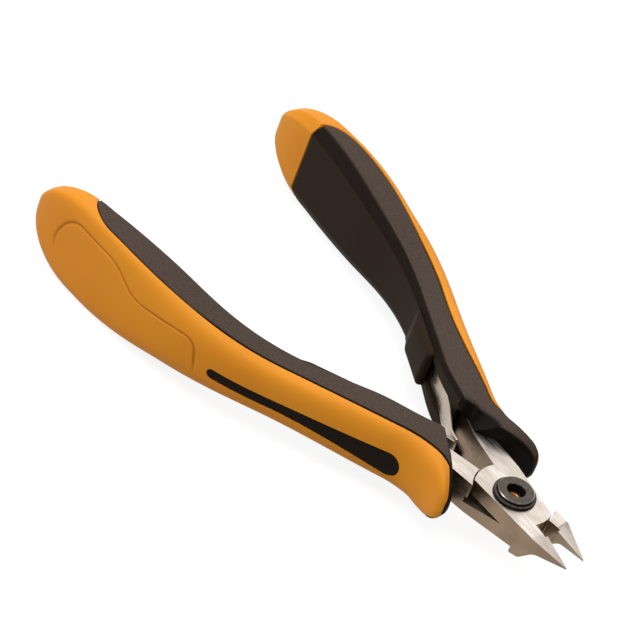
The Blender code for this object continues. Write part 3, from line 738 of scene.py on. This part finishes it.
def dark_finish():
    """Grained dark plastic with painted light and shade: top strips a lighter lit tone, inner faces darker,
    chamfers and a line along the seam darkest, and painted near-black shade, glossier, on the nose's front
    face and the fork over the arm.
    """
    made = Finish("dark_grip", (0.05, 0.038, 0.031), 0.62)
    grain = made.noise(3600.0, 2.0)
    speckle = made.ramp(grain, 0.3, 0.7)
    strip = made.attribute("strip")
    # Painted light and shade: the top strip is a lighter lit tone of the dark plastic, the inner face
    # darker and its chamfer darkest, all with one grain
    lit_top_tone = made.mix(speckle, (0.066, 0.046, 0.035), (0.096, 0.070, 0.055))
    plain = made.mix(speckle, (0.027, 0.0165, 0.0105), (0.033, 0.0205, 0.0132))
    shaded_chamfer_tone = made.mix(speckle, (0.013, 0.0080, 0.0053), (0.018, 0.0112, 0.0075))
    side = made.mix(made.ramp(strip, 0.0, 0.5), plain, shaded_chamfer_tone)
    body = made.mix(made.ramp(strip, 0.5, 1.0), side, lit_top_tone)
    # Painted shade: near-black on the nose's front face and on the fork over the arm, which are also
    # glossier
    nose = made.attribute("nose")
    made.colour(made.mix(nose, body, (0.007, 0.0045, 0.0030)))
    made.roughness(made.ramp(nose, 0.0, 1.0, 0.66, 0.42))
    made.bump(grain, 0.02, 0.5)
    made.shader.inputs["Specular IOR Level"].default_value = 0.07
    return made.material


def inlay_finish():
    made = Finish("dark_inlay", (0.012, 0.008, 0.005), 0.6)
    grain = made.noise(2600.0, 3.0)
    made.colour(made.mix(made.ramp(grain, 0.3, 0.7), (0.010, 0.0066, 0.0042), (0.016, 0.0108, 0.0070)))
    made.roughness(made.ramp(grain, 0.2, 0.8, 0.52, 0.66))
    made.bump(grain, 0.015, 0.5)
    made.shader.inputs["Specular IOR Level"].default_value = 0.05
    return made.material


def steel_finish(name, flat, wall_shade, turn):
    """Ground flats with painted shade towards the grips and on slightly tilted facets, a dark reflection
    painted on bevelled edges, and upright walls painted as a darker, warmer shaded copy with random stains;
    turn is the way of the grinding.
    """
    made = Finish(name, flat, 0.3, 1.0)
    lines = made.noise(260.0, 6.0, (1.0, 22.0, 6.0), turn)
    cloud = made.noise(180.0, 2.0)
    facing = made.upness()
    dull = tuple(0.72 * value for value in flat)
    ground = made.mix(made.ramp(lines, 0.3, 0.7), dull, flat)
    along = made.node("ShaderNodeSeparateXYZ", Vector=made.place).outputs["X"]
    # Painted shade: the steel turns towards its wall shade tone near the grips
    grip_shade = made.ramp(along, PIVOT.x - ARM_SHADE_X[0] * MM, PIVOT.x - ARM_SHADE_X[1] * MM, 0.7, 0.0)
    patches = made.noise(110.0, 2.0, (1.0, 2.5, 1.0), turn)
    ground = made.mix(made.ramp(patches, 0.35, 0.62, 0.0, 0.35), ground, wall_shade)
    ground = made.mix(grip_shade, ground, wall_shade)
    # Painted shade: faces a little off level, such as the jaw slopes, take up to a fifth of the wall's
    # shade tone
    ground = made.mix(made.ramp(facing, 0.979, 0.997, 0.22, 0.0), ground, wall_shade)
    # Painted shade: upright walls take the darker, warmer wall tone, varied at random like stains
    stains_on_shade = made.mix(made.ramp(cloud, 0.3, 0.7), wall_shade, tuple(1.25 * value for value in wall_shade))
    # Painted reflection: bevelled faces between upright and level turn dark
    edge_reflection = made.mix(made.ramp(facing, 0.35, 0.6), stains_on_shade, tuple(0.35 * value for value in wall_shade))
    made.colour(made.mix(made.ramp(facing, 0.78, 0.97), edge_reflection, ground))
    made.roughness(made.ramp(lines, 0.2, 0.8, 0.24, 0.40))
    made.bump(lines, 0.01, 0.6)
    return made.material


def black_finish():
    made = Finish("black_oxide", (0.02, 0.017, 0.015), 0.45)
    speckle = made.noise(1500.0, 4.0)
    # Painted light: level faces are a lighter, lit grey copy of the black oxide, upright faces stay
    # near-black as shaded
    up = made.ramp(made.upness(), 0.6, 0.95)
    lit_level_tone = made.mix(made.ramp(speckle, 0.3, 0.7), (0.085, 0.068, 0.055), (0.135, 0.110, 0.091))
    made.colour(made.mix(up, (0.008, 0.006, 0.005), lit_level_tone))
    made.roughness(made.ramp(speckle, 0.2, 0.8, 0.36, 0.52))
    made.shader.inputs["Specular IOR Level"].default_value = 0.08
    return made.material


def edge_finish():
    # Painted highlight: the chamfers on the screw head and nut are a lighter grey metal, for the bright
    # line along them
    made = Finish("chamfer_highlight", (0.45, 0.42, 0.39), 0.3, 1.0)
    speckle = made.noise(1200.0, 4.0)
    made.colour(made.mix(made.ramp(speckle, 0.35, 0.65), (0.30, 0.275, 0.25), (0.55, 0.52, 0.49)))
    return made.material


def brass_finish():
    made = Finish("brass", (0.62, 0.33, 0.10), 0.32, 1.0)
    cloud = made.noise(900.0, 3.0)
    made.colour(made.mix(made.ramp(cloud, 0.3, 0.7), (0.80, 0.38, 0.09), (0.95, 0.55, 0.20)))
    made.roughness(made.ramp(cloud, 0.2, 0.8, 0.25, 0.42))
    return made.material


YELLOW = yellow_finish()
DARK = dark_finish()
INLAY = inlay_finish()
# A flat tone and a darker wall tone for each steel; the wall tone is painted shade
STEEL = steel_finish("ground_steel", (0.84, 0.760, 0.690), (0.22, 0.157, 0.105), math.radians(20.0))
SPRING = steel_finish("spring_steel", (0.72, 0.65, 0.58), (0.40, 0.33, 0.26), 0.0)
BLACK = black_finish()
EDGE = edge_finish()
BRASS = brass_finish()


# Levers

def arm_inner(x):
    """Y of the arm's inner edge between the lap circle and its bend, which hollows slightly."""
    return np.interp(x, (LAP_RADIUS, ARM_INNER_MID[0], ARM_INNER_BEND[0]),
                     (ARM_INNER_START, ARM_INNER_MID[1], ARM_INNER_BEND[1]))


def tang_edges(grow):
    """Inner and outer edge of the arm and tang, from the lap circle back to the tang's end."""
    low = TANG_OFFSET - 0.5 * TANG_WIDTH - grow
    high = TANG_OFFSET + 0.5 * TANG_WIDTH + grow
    along = np.linspace(TANG_START_X, TANG_END_X + grow, 2 * ARC_STEPS)
    inner = [(-x, arm_inner(x) - grow) for x in (ARM_INNER_MID[0], ARM_INNER_BEND[0])]
    inner += [(-x, spine(x) + low) for x in along]
    outer = [(-x, spine(x) + high) for x in reversed(along)]
    outer.append((-ARM_OUTER_BEND_X, 0.5 * HEAD_REAR_WIDTH + grow))
    return inner, outer


def lever_outline():
    rear = 0.5 * HEAD_REAR_WIDTH
    front = 0.5 * HEAD_FRONT_WIDTH
    edge = 0.5 * JAW_CLOSED_GAP
    throat = edge + JAW_EDGE_NOTCH
    rear_angle = math.asin(rear / LAP_RADIUS)
    front_angle = math.asin(front / LAP_RADIUS)
    arm_angle = math.asin(ARM_INNER_START / LAP_RADIUS)
    inner, outer = tang_edges(0.0)
    outline = [
        (JAW_EDGE_X, -throat),
        (JAW_EDGE_X, -edge),
        (JAW_LENGTH, -edge),
        (JAW_LENGTH, -edge - JAW_TIP_WIDTH),
        (JAW_CHEEK_X, -JAW_CHEEK_WIDTH),
        (LAP_RADIUS * math.cos(front_angle), -front),
    ]
    outline += arc(LAP_RADIUS, math.pi + rear_angle, math.pi - arm_angle, ARC_STEPS)
    outline += inner + outer
    outline.append((-LAP_RADIUS * math.cos(rear_angle), rear))
    outline += arc(LAP_RADIUS, front_angle, -math.asin(throat / LAP_RADIUS), ARC_STEPS)
    return outline


def shape_jaw(lever, up):
    """Slopes the jaw's upper face, relieves its lower face and undercuts its edge; up is the sign of Z."""
    half = 0.5 * LEVER_THICKNESS
    past = JAW_LENGTH + OVER
    width = LAP_RADIUS
    tip_top = JAW_TIP_RISE + 0.5 * JAW_TIP_THICKNESS
    tip_low = JAW_TIP_RISE - 0.5 * JAW_TIP_THICKNESS
    fall = (half - tip_top) / (JAW_LENGTH - JAW_SLOPE_X)
    climb = (tip_low - JAW_RELIEF_END_Z) / (JAW_LENGTH - JAW_RELIEF_END_X)

    top = [
        (JAW_SLOPE_X, half),
        (past, tip_top - fall * OVER),
        (past, half + OVER),
        (JAW_SLOPE_X, half + OVER),
    ]
    cut(lever, prism("jaw_slope", [(x, up * z) for x, z in top], -width, width, UPRIGHT))

    low = [
        (JAW_RELIEF_START_X, -half - JAW_RELIEF_STEP),
        *JAW_HEEL,
        (JAW_RELIEF_END_X, JAW_RELIEF_END_Z),
        (past, tip_low + climb * OVER),
    ]
    low = rounded_path(low, JAW_RELIEF_ROUND, BEND_STEPS)
    low += [(past, -half - OVER), (JAW_RELIEF_START_X, -half - OVER)]
    cut(lever, prism("jaw_relief", [(x, up * z) for x, z in low], -width, width, UPRIGHT))

    edge = -0.5 * JAW_CLOSED_GAP
    deep = LEVER_THICKNESS + OVER
    under = [
        (edge, OVER),
        (edge, 0.0),
        (edge - deep * math.tan(JAW_BEVEL_ANGLE), -deep),
        (width, -deep),
        (width, OVER),
    ]
    along = Matrix(((0.0, 0.0, 1.0, 0.0), (1.0, 0.0, 0.0, 0.0), (0.0, 1.0, 0.0, 0.0), (0.0, 0.0, 0.0, 1.0)))
    tilt = Matrix.Rotation(up * math.atan(fall), 4, "Y")
    seat = Matrix.Translation((JAW_SLOPE_X, 0.0, up * half)) @ tilt @ along
    start = JAW_EDGE_X - JAW_SLOPE_X
    cut(lever, prism("jaw_undercut", [(y, up * z) for y, z in under], start, JAW_LENGTH + OVER, seat))


def make_lever(half, up):
    tall = 0.5 * LEVER_THICKNESS
    lever = prism("fine_lever_" + half, lever_outline(), -tall, tall)
    circle = arc(LAP_RADIUS + FIT_GAP, 0.0, 2.0 * math.pi, 4 * ARC_STEPS)[:-1]
    cut(lever, prism("lap", circle, -tall - OVER, 0.5 * FIT_GAP))
    cut(lever, prism("lap_wedge", LAP_WEDGE, -LAP_RADIUS, -LAP_WEDGE_Y, UPRIGHT))
    bore = arc(SCREW_SHANK_RADIUS + HARDWARE_GAP, 0.0, 2.0 * math.pi, ROUND_STEPS)[:-1]
    cut(lever, prism("bore", bore, -tall - OVER, tall + OVER))
    shape_jaw(lever, up)
    ease_edges(lever, LEVER_EDGE)
    return dress(lever, [STEEL], HALVES[half], "lever_" + half, LEVER_SHARP_ANGLE)


# Grips

def inlay_outline(grow):
    """Teardrop on the grip's side, in X and Z: one edge nearly straight, the other widens to the front."""
    straight = []
    widening = []
    for share in np.linspace(0.0, 1.0, 2 * ARC_STEPS):
        x = np.interp(share, (0.0, 1.0), INLAY_X)
        edge = np.interp(share, (0.0, 1.0), INLAY_EDGE_Z) + INLAY_EDGE_SAG * 4.0 * share * (1.0 - share)
        widened = (max(0.0, share - INLAY_WIDEN_START) / (1.0 - INLAY_WIDEN_START)) ** INLAY_WIDEN_POWER
        half = np.interp(widened, (0.0, 1.0), INLAY_HALF_WIDTH)
        straight.append((-x, edge - grow))
        widening.append((-x, edge + 2.0 * half + grow))
    ends = []
    for end, start in ((1, -QUARTER_TURN), (0, QUARTER_TURN)):
        half = INLAY_HALF_WIDTH[end]
        round_end = arc(half + grow, start, start + math.pi, ARC_STEPS)[1:-1]
        ends.append([(x - INLAY_X[end], z + INLAY_EDGE_Z[end] + half) for x, z in round_end])
    front_end, rear_end = ends
    return straight + front_end + widening[::-1] + rear_end


def inlay_plug(grow):
    outside = -outer_face(PALM_X) - OVER
    return prism("inlay_plug", inlay_outline(grow), outside, -spine(INLAY_X[1]), UPRIGHT)


def groove_floor(x):
    front = inner_face(LEAF_FIRST_BEND_X)
    rear = inner_face(LEAF_ANCHOR_X)
    share = (x - LEAF_FIRST_BEND_X) / (LEAF_ANCHOR_X - LEAF_FIRST_BEND_X)
    return front + (rear - front) * share + GROOVE_DEPTH


def fork_run(x):
    """How far the core leans back from the arm's inner edge over the rise of the fork."""
    return FORK_RUN[0] + (FORK_RUN[1] - FORK_RUN[0]) * smooth(*FORK_RUN_X, x)


def fork_face(x, above):
    """Y of the core's inner side at a height above the arm; it leaves the inner face without a step."""
    edge = inner_face(x) + (arm_inner(x) + FORK_SETBACK - inner_face(x)) * smooth(*FORK_EDGE_X, x)
    return edge + above * fork_run(x) / FORK_RISE


def fork_slope_cutter(low):
    """Cutter that leans the core back from the arm's inner edge, above the level of the arm."""
    sections = []
    high = GRIP_PALM_HEIGHT
    for x in np.linspace(CORE_STEP_X, LAP_RADIUS, 2 * ARC_STEPS):
        sections.append([(-x, fork_face(x, 0.0), low), (-x, fork_face(x, high - low), high),
                         (-x, -GRIP_END_X, high), (-x, -GRIP_END_X, low)])
    return skin("fork_slope", sections)


def nose_shade(x, y, z):
    """1 on the nose's front face and on the fork over the arm, 0 from a little behind them."""
    face = nose_face(x)
    if z > 0.0:
        face = max(face, fork_face(x, max(0.0, z - 0.5 * LEVER_THICKNESS - FIT_GAP)))
    return smooth(*NOSE_SHADE_DEPTH, y - face) * smooth(*NOSE_SHADE_REAR, x - CORE_STEP_X)


def strip_shade(x, y, z):
    """0 on the inner face, a half on its chamfer and along the front of the seam, 1 on the top strip."""
    section = Section(x)
    edge = section.height - section.chamfer_height
    crest = section.inner + section.chamfer_width
    line = smooth(*SEAM_LINE, seam_on(z, x) - y) * smooth(*SEAM_LINE_X, x)
    over = smooth(*CREST_FADE, y - crest) * (1.0 - line)
    return 0.5 * smooth(*CHAMFER_FADE, abs(z) - edge) + 0.5 * over


def make_core(half):
    tall = 0.5 * LEVER_THICKNESS + FIT_GAP
    xs = [x for x in stations(GRIP_NOSE_X, CAP_CURVE_X[1]) if seam(x) - inner_face(x) > THINNEST_WEDGE]
    # Every second station is fine enough for the core, with the last one kept
    xs = xs[::2] + ([xs[-1]] if len(xs) % 2 == 0 else [])
    core = loft("fine_core_" + half, core_ring, xs)
    inner, outer = tang_edges(FIT_GAP)
    front = [(-LAP_RADIUS, 0.5 * HEAD_REAR_WIDTH + FIT_GAP), (-LAP_RADIUS, ARM_INNER_START - FIT_GAP)]
    cut(core, prism("tang_pocket", front + inner + outer, -tall, tall))
    fork = [(-x, arm_inner(x)) for x in (0.0, LAP_RADIUS, ARM_INNER_MID[0], CORE_STEP_X)]
    fork += [(-CORE_STEP_X, -GRIP_END_X), (0.0, -GRIP_END_X)]
    cut(core, prism("fork", fork, -tall, tall))
    cut(core, fork_slope_cutter(tall - FORK_OVERLAP))
    reach = 2.0 * CLIP_DEPTH
    bend, second = leaf_points()[1:3]
    groove = [
        (second[0], second[1] + LEAF_OFF_FLOOR),
        (bend[0], bend[1] + LEAF_OFF_FLOOR),
        (-GROOVE_REAR_X, groove_floor(GROOVE_REAR_X)),
        (-GROOVE_REAR_X, inner_face(GROOVE_REAR_X) - reach),
        (second[0], second[1] - reach),
    ]
    wide = 0.5 * LEAF_HEIGHT + FIT_GAP
    cut(core, prism("leaf_groove", groove, -wide, wide))
    for name, rule in (("nose", nose_shade), ("strip", strip_shade)):
        shade = core.data.attributes.new(name, "FLOAT", "POINT")
        shade.data.foreach_set("value", [rule(-v.co.x, v.co.y, v.co.z) for v in core.data.vertices])
    return dress(core, [DARK], HALVES[half], "grip_core_" + half)


def engrave(shell):
    """Presses the panel's outline into the outer side of the shell, and keeps how far each point is pressed
    in the line attribute, which the yellow finish turns into painted shade in the groove.
    """
    line = evenly(rounded_path(PANEL_CORNERS, PANEL_CORNER_ROUND, ARC_STEPS), PANEL_LINE_STEP)
    moved = []
    shade = shell.data.attributes.new("line", "FLOAT", "POINT")
    for vertex in shell.data.vertices:
        x, y, z = -vertex.co.x, vertex.co.y, vertex.co.z
        if x < FINE_START_X or y < spine(x):
            continue
        away = math.sqrt(np.min((line[:, 0] - x) ** 2 + (line[:, 1] - z) ** 2))
        if away < PANEL_LINE_HALF_WIDTH:
            press = (1.0 - (away / PANEL_LINE_HALF_WIDTH) ** 2) ** PANEL_LINE_POWER
            press *= smooth(*reversed(PANEL_FADE_Z), z)
            shade.data[vertex.index].value = press
            moved.append((vertex.index, vertex.co - PANEL_LINE_DEPTH * press * vertex.normal))
    for index, place in moved:
        shell.data.vertices[index].co = place


def make_shell(half):
    xs = [x for x in stations(GRIP_NOSE_X, GRIP_END_X)
          if outer_face(x) - seam_on(1.0, x) - SEAM_GAP > THINNEST_WEDGE or x > CAP_CURVE_X[0]]
    shell = loft("fine_shell_" + half, shell_ring, xs)
    engrave(shell)
    cut(shell, inlay_plug(INLAY_GAP))
    return dress(shell, [YELLOW], HALVES[half], "outer_shell_" + half)


def make_inlay(half):
    inlay = loft("inlay_" + half, inlay_ring, list(np.arange(*INLAY_BODY_X, FRONT_STEP)))
    cut(inlay, inlay_plug(0.0), "INTERSECT")
    return dress(inlay, [INLAY], HALVES[half], None)


# Springs and clips

def to_lever_frame(x, y):
    """A point given in the open rest pose, in the closed frame of the half it belongs to."""
    c = math.cos(HALF_OPEN)
    s = math.sin(HALF_OPEN)
    return (x * c - y * s, x * s + y * c)


def leaf_points():
    second_x, second_y = LEAF_SECOND_BEND
    return [
        (-LEAF_ANCHOR_X, groove_floor(LEAF_ANCHOR_X) - LEAF_OFF_FLOOR),
        (-LEAF_FIRST_BEND_X, groove_floor(LEAF_FIRST_BEND_X) - LEAF_OFF_FLOOR),
        to_lever_frame(-second_x, second_y),
        to_lever_frame(-LEAF_TIP_X, 0.5 * FIT_GAP + 0.5 * LEAF_THICKNESS),
    ]


def make_leaf(half):
    points = leaf_points()
    bowed = points[:2] + [to_lever_frame(*LEAF_BOW)] + points[2:]
    path = np.array(rounded_path(bowed, LEAF_BEND_ROUND, BEND_STEPS))
    run = np.gradient(path, axis=0)
    across = np.stack([-run[:, 1], run[:, 0]], axis=1)
    across /= np.linalg.norm(across, axis=1)[:, None]
    left = path + 0.5 * LEAF_THICKNESS * across
    right = path - 0.5 * LEAF_THICKNESS * across
    outline = [tuple(p) for p in left] + [tuple(p) for p in right[::-1]]
    leaf = prism("fine_leaf_" + half, outline, -0.5 * LEAF_HEIGHT, 0.5 * LEAF_HEIGHT)
    ease_edges(leaf, LEAF_EDGE)
    dress(leaf, [SPRING], HALVES[half], "leaf_spring_" + half)
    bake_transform(leaf)


def clip_rise(x):
    """Rise of the clip's rounded front, from 0 at its edge to 1."""
    return quarter_round(CLIP_FRONT_SLOPE - (x - CLIP_FRONT_X), CLIP_FRONT_SLOPE)


def clip_depth(x):
    rear = CLIP_FRONT_X + CLIP_LENGTH - x
    return CLIP_DEPTH * clip_rise(x) * smooth(-CLIP_REAR_EDGE, CLIP_REAR_SLOPE, rear)


def clip_ring(x, side):
    base = inner_face(x) - CLIP_GAP
    depth = max(clip_depth(x), CLIP_THINNEST)
    tall = 0.5 * CLIP_HEIGHT * (1.0 - CLIP_FRONT_DROP + CLIP_FRONT_DROP * clip_rise(x))
    points = [(base, z) for z in np.linspace(0.0, CLIP_BASE_SHARE * tall, CLIP_BASE_STEPS)]
    for turn in np.linspace(0.0, QUARTER_TURN, CLIP_SIDE_STEPS):
        y = base - depth * math.sin(turn) ** (2.0 / CLIP_SIDE_POWER)
        points.append((y, tall * max(0.0, math.cos(turn)) ** (2.0 / CLIP_SIDE_POWER)))
    return points


def make_clip(half):
    turns = np.linspace(0.0, math.pi, CLIP_STATIONS)
    xs = [CLIP_FRONT_X + 0.5 * CLIP_LENGTH * (1.0 - math.cos(turn)) for turn in turns]
    clip = loft("fine_clip_" + half, clip_ring, xs)
    return dress(clip, [DARK], HALVES[half], "spring_clip_" + half)


# Pivot hardware

def head_levels():
    low = 0.5 * LEVER_THICKNESS + WASHER_THICKNESS + 2.0 * HARDWARE_GAP
    return low, low + SCREW_HEAD_HEIGHT


def pivot_piece(name, node, materials, profile, shiny=()):
    piece = dress(turned(name, profile, shiny), materials, Matrix.Translation(PIVOT), node)
    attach(piece, "half_a")


def make_pivot():
    low, high = head_levels()
    floor = -0.5 * LEVER_THICKNESS - HARDWARE_GAP
    end = floor - NUT_THICKNESS
    bore = SCREW_SHANK_RADIUS + HARDWARE_GAP
    bevel = HARDWARE_BEVEL
    washer_low = 0.5 * LEVER_THICKNESS + HARDWARE_GAP
    washer_high = washer_low + WASHER_THICKNESS
    screw = [
        (SCREW_BORE_RADIUS, high - HEAD_EDGE),
        (SCREW_BORE_RADIUS + 0.5 * HEAD_EDGE, high),
        (SCREW_HEAD_RADIUS - HEAD_EDGE, high),
        (SCREW_HEAD_RADIUS - bevel, high - bevel),
        (SCREW_HEAD_RADIUS, high - HEAD_EDGE - bevel),
        (SCREW_HEAD_RADIUS, low),
        (SCREW_SHANK_RADIUS, low),
        (SCREW_SHANK_RADIUS, end),
        (SCREW_BORE_RADIUS, end),
    ]
    pivot_piece("fine_screw", "pivot_screw", [BLACK, EDGE], screw, (0, 2))
    washer = [
        (bore, washer_high),
        (WASHER_RADIUS - bevel, washer_high),
        (WASHER_RADIUS, washer_high - bevel),
        (WASHER_RADIUS, washer_low),
        (bore, washer_low),
    ]
    pivot_piece("fine_washer", "pivot_washer", [BLACK], washer)
    nut = [
        (bore, floor),
        (NUT_RADIUS, floor),
        (NUT_RADIUS, end + HEAD_EDGE),
        (NUT_RADIUS - HEAD_EDGE, end),
        (bore, end),
    ]
    pivot_piece("fine_nut", "pivot_nut", [BLACK, EDGE], nut, (2,))
    sleeve_high = high - SLEEVE_TOP_DEPTH
    outside = SCREW_BORE_RADIUS - HARDWARE_GAP
    sleeve = [
        (SLEEVE_BORE_RADIUS, sleeve_high - bevel),
        (SLEEVE_BORE_RADIUS + bevel, sleeve_high),
        (outside, sleeve_high),
        (outside, end),
        (SLEEVE_BORE_RADIUS, end),
    ]
    pivot_piece("fine_sleeve", "pivot_sleeve", [BRASS], sleeve)


for half, other, up in (("a", "b", -1.0), ("b", "a", 1.0)):
    body = "half_" + half
    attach(make_lever(half, up), body)
    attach(make_core(half), body)
    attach(make_shell(half), body)
    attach(make_inlay(half), body)
    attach(make_clip(half), body)
    make_leaf(half)
make_pivot()


# Camera

def make_camera():
    a, e, r = CAMERA_AZIMUTH, CAMERA_ELEVATION, CAMERA_ROLL
    back = Vector((math.sin(a) * math.cos(e), -math.cos(a) * math.cos(e), math.sin(e)))
    level = Vector((math.cos(a), math.sin(a), 0.0))
    raised = back.cross(level)
    right = math.cos(r) * level + math.sin(r) * raised
    above = math.cos(r) * raised - math.sin(r) * level
    lens = bpy.data.cameras.new("camera")
    lens.sensor_width = SENSOR_WIDTH
    lens.lens = SENSOR_WIDTH * FOCAL_PIXELS / IMAGE_PIXELS
    camera = bpy.data.objects.new("camera", lens)
    place = Matrix((right, above, back)).transposed().to_4x4()
    place.translation = PIVOT + MM * (Vector(CAMERA_AIM) + back * CAMERA_DISTANCE)
    camera.matrix_world = place
    bpy.context.scene.collection.objects.link(camera)
    bpy.context.scene.camera = camera


# Floor and light

def make_floor():
    reach = FLOOR_REACH
    corners = [(-reach, -reach), (reach, -reach), (reach, reach), (-reach, reach)]
    floor = prism("floor", corners, *FLOOR_LEVELS)
    floor.data.transform(Matrix.Scale(MM, 4))
    made = Finish("pale_floor", (0.26, 0.26, 0.26), 0.9)
    rays = made.node("ShaderNodeLightPath").outputs
    seen = made.arithmetic("MAXIMUM", rays["Is Camera Ray"], rays["Is Glossy Ray"])
    seen = made.arithmetic("MAXIMUM", seen, rays["Is Transmission Ray"])
    made.shader.inputs["Emission Color"].default_value = (1.0, 1.0, 1.0, 1.0)
    made.feed(made.shader.inputs["Emission Strength"], made.arithmetic("MULTIPLY", seen, FLOOR_GLOW))
    floor.data.materials.append(made.material)


def make_light(name, place, size, power):
    lamp = bpy.data.lights.new(name, "AREA")
    lamp.shape = "DISK"
    lamp.size = size
    lamp.energy = power
    made = bpy.data.objects.new(name, lamp)
    made.location = place
    made.rotation_euler = Vector(place).to_track_quat("Z", "Y").to_euler()
    bpy.context.scene.collection.objects.link(made)


def make_world():
    world = bpy.data.worlds.new("studio")
    bpy.context.scene.world = world
    world.use_nodes = True
    sky = world.node_tree.nodes["Background"]
    sky.inputs["Color"].default_value = (1.0, 0.985, 0.96, 1.0)
    sky.inputs["Strength"].default_value = SKY_STRENGTH


make_camera()
make_floor()
make_light("key", (-0.52, 0.77, 0.76), 1.5, 6.0)
make_light("above", (-0.15, -0.2, 0.95), 0.8, 4.6)
make_light("fill", (-0.45, -0.8, 0.55), 0.8, 3.6)
make_world()
bpy.context.scene.view_settings.view_transform = "Standard"
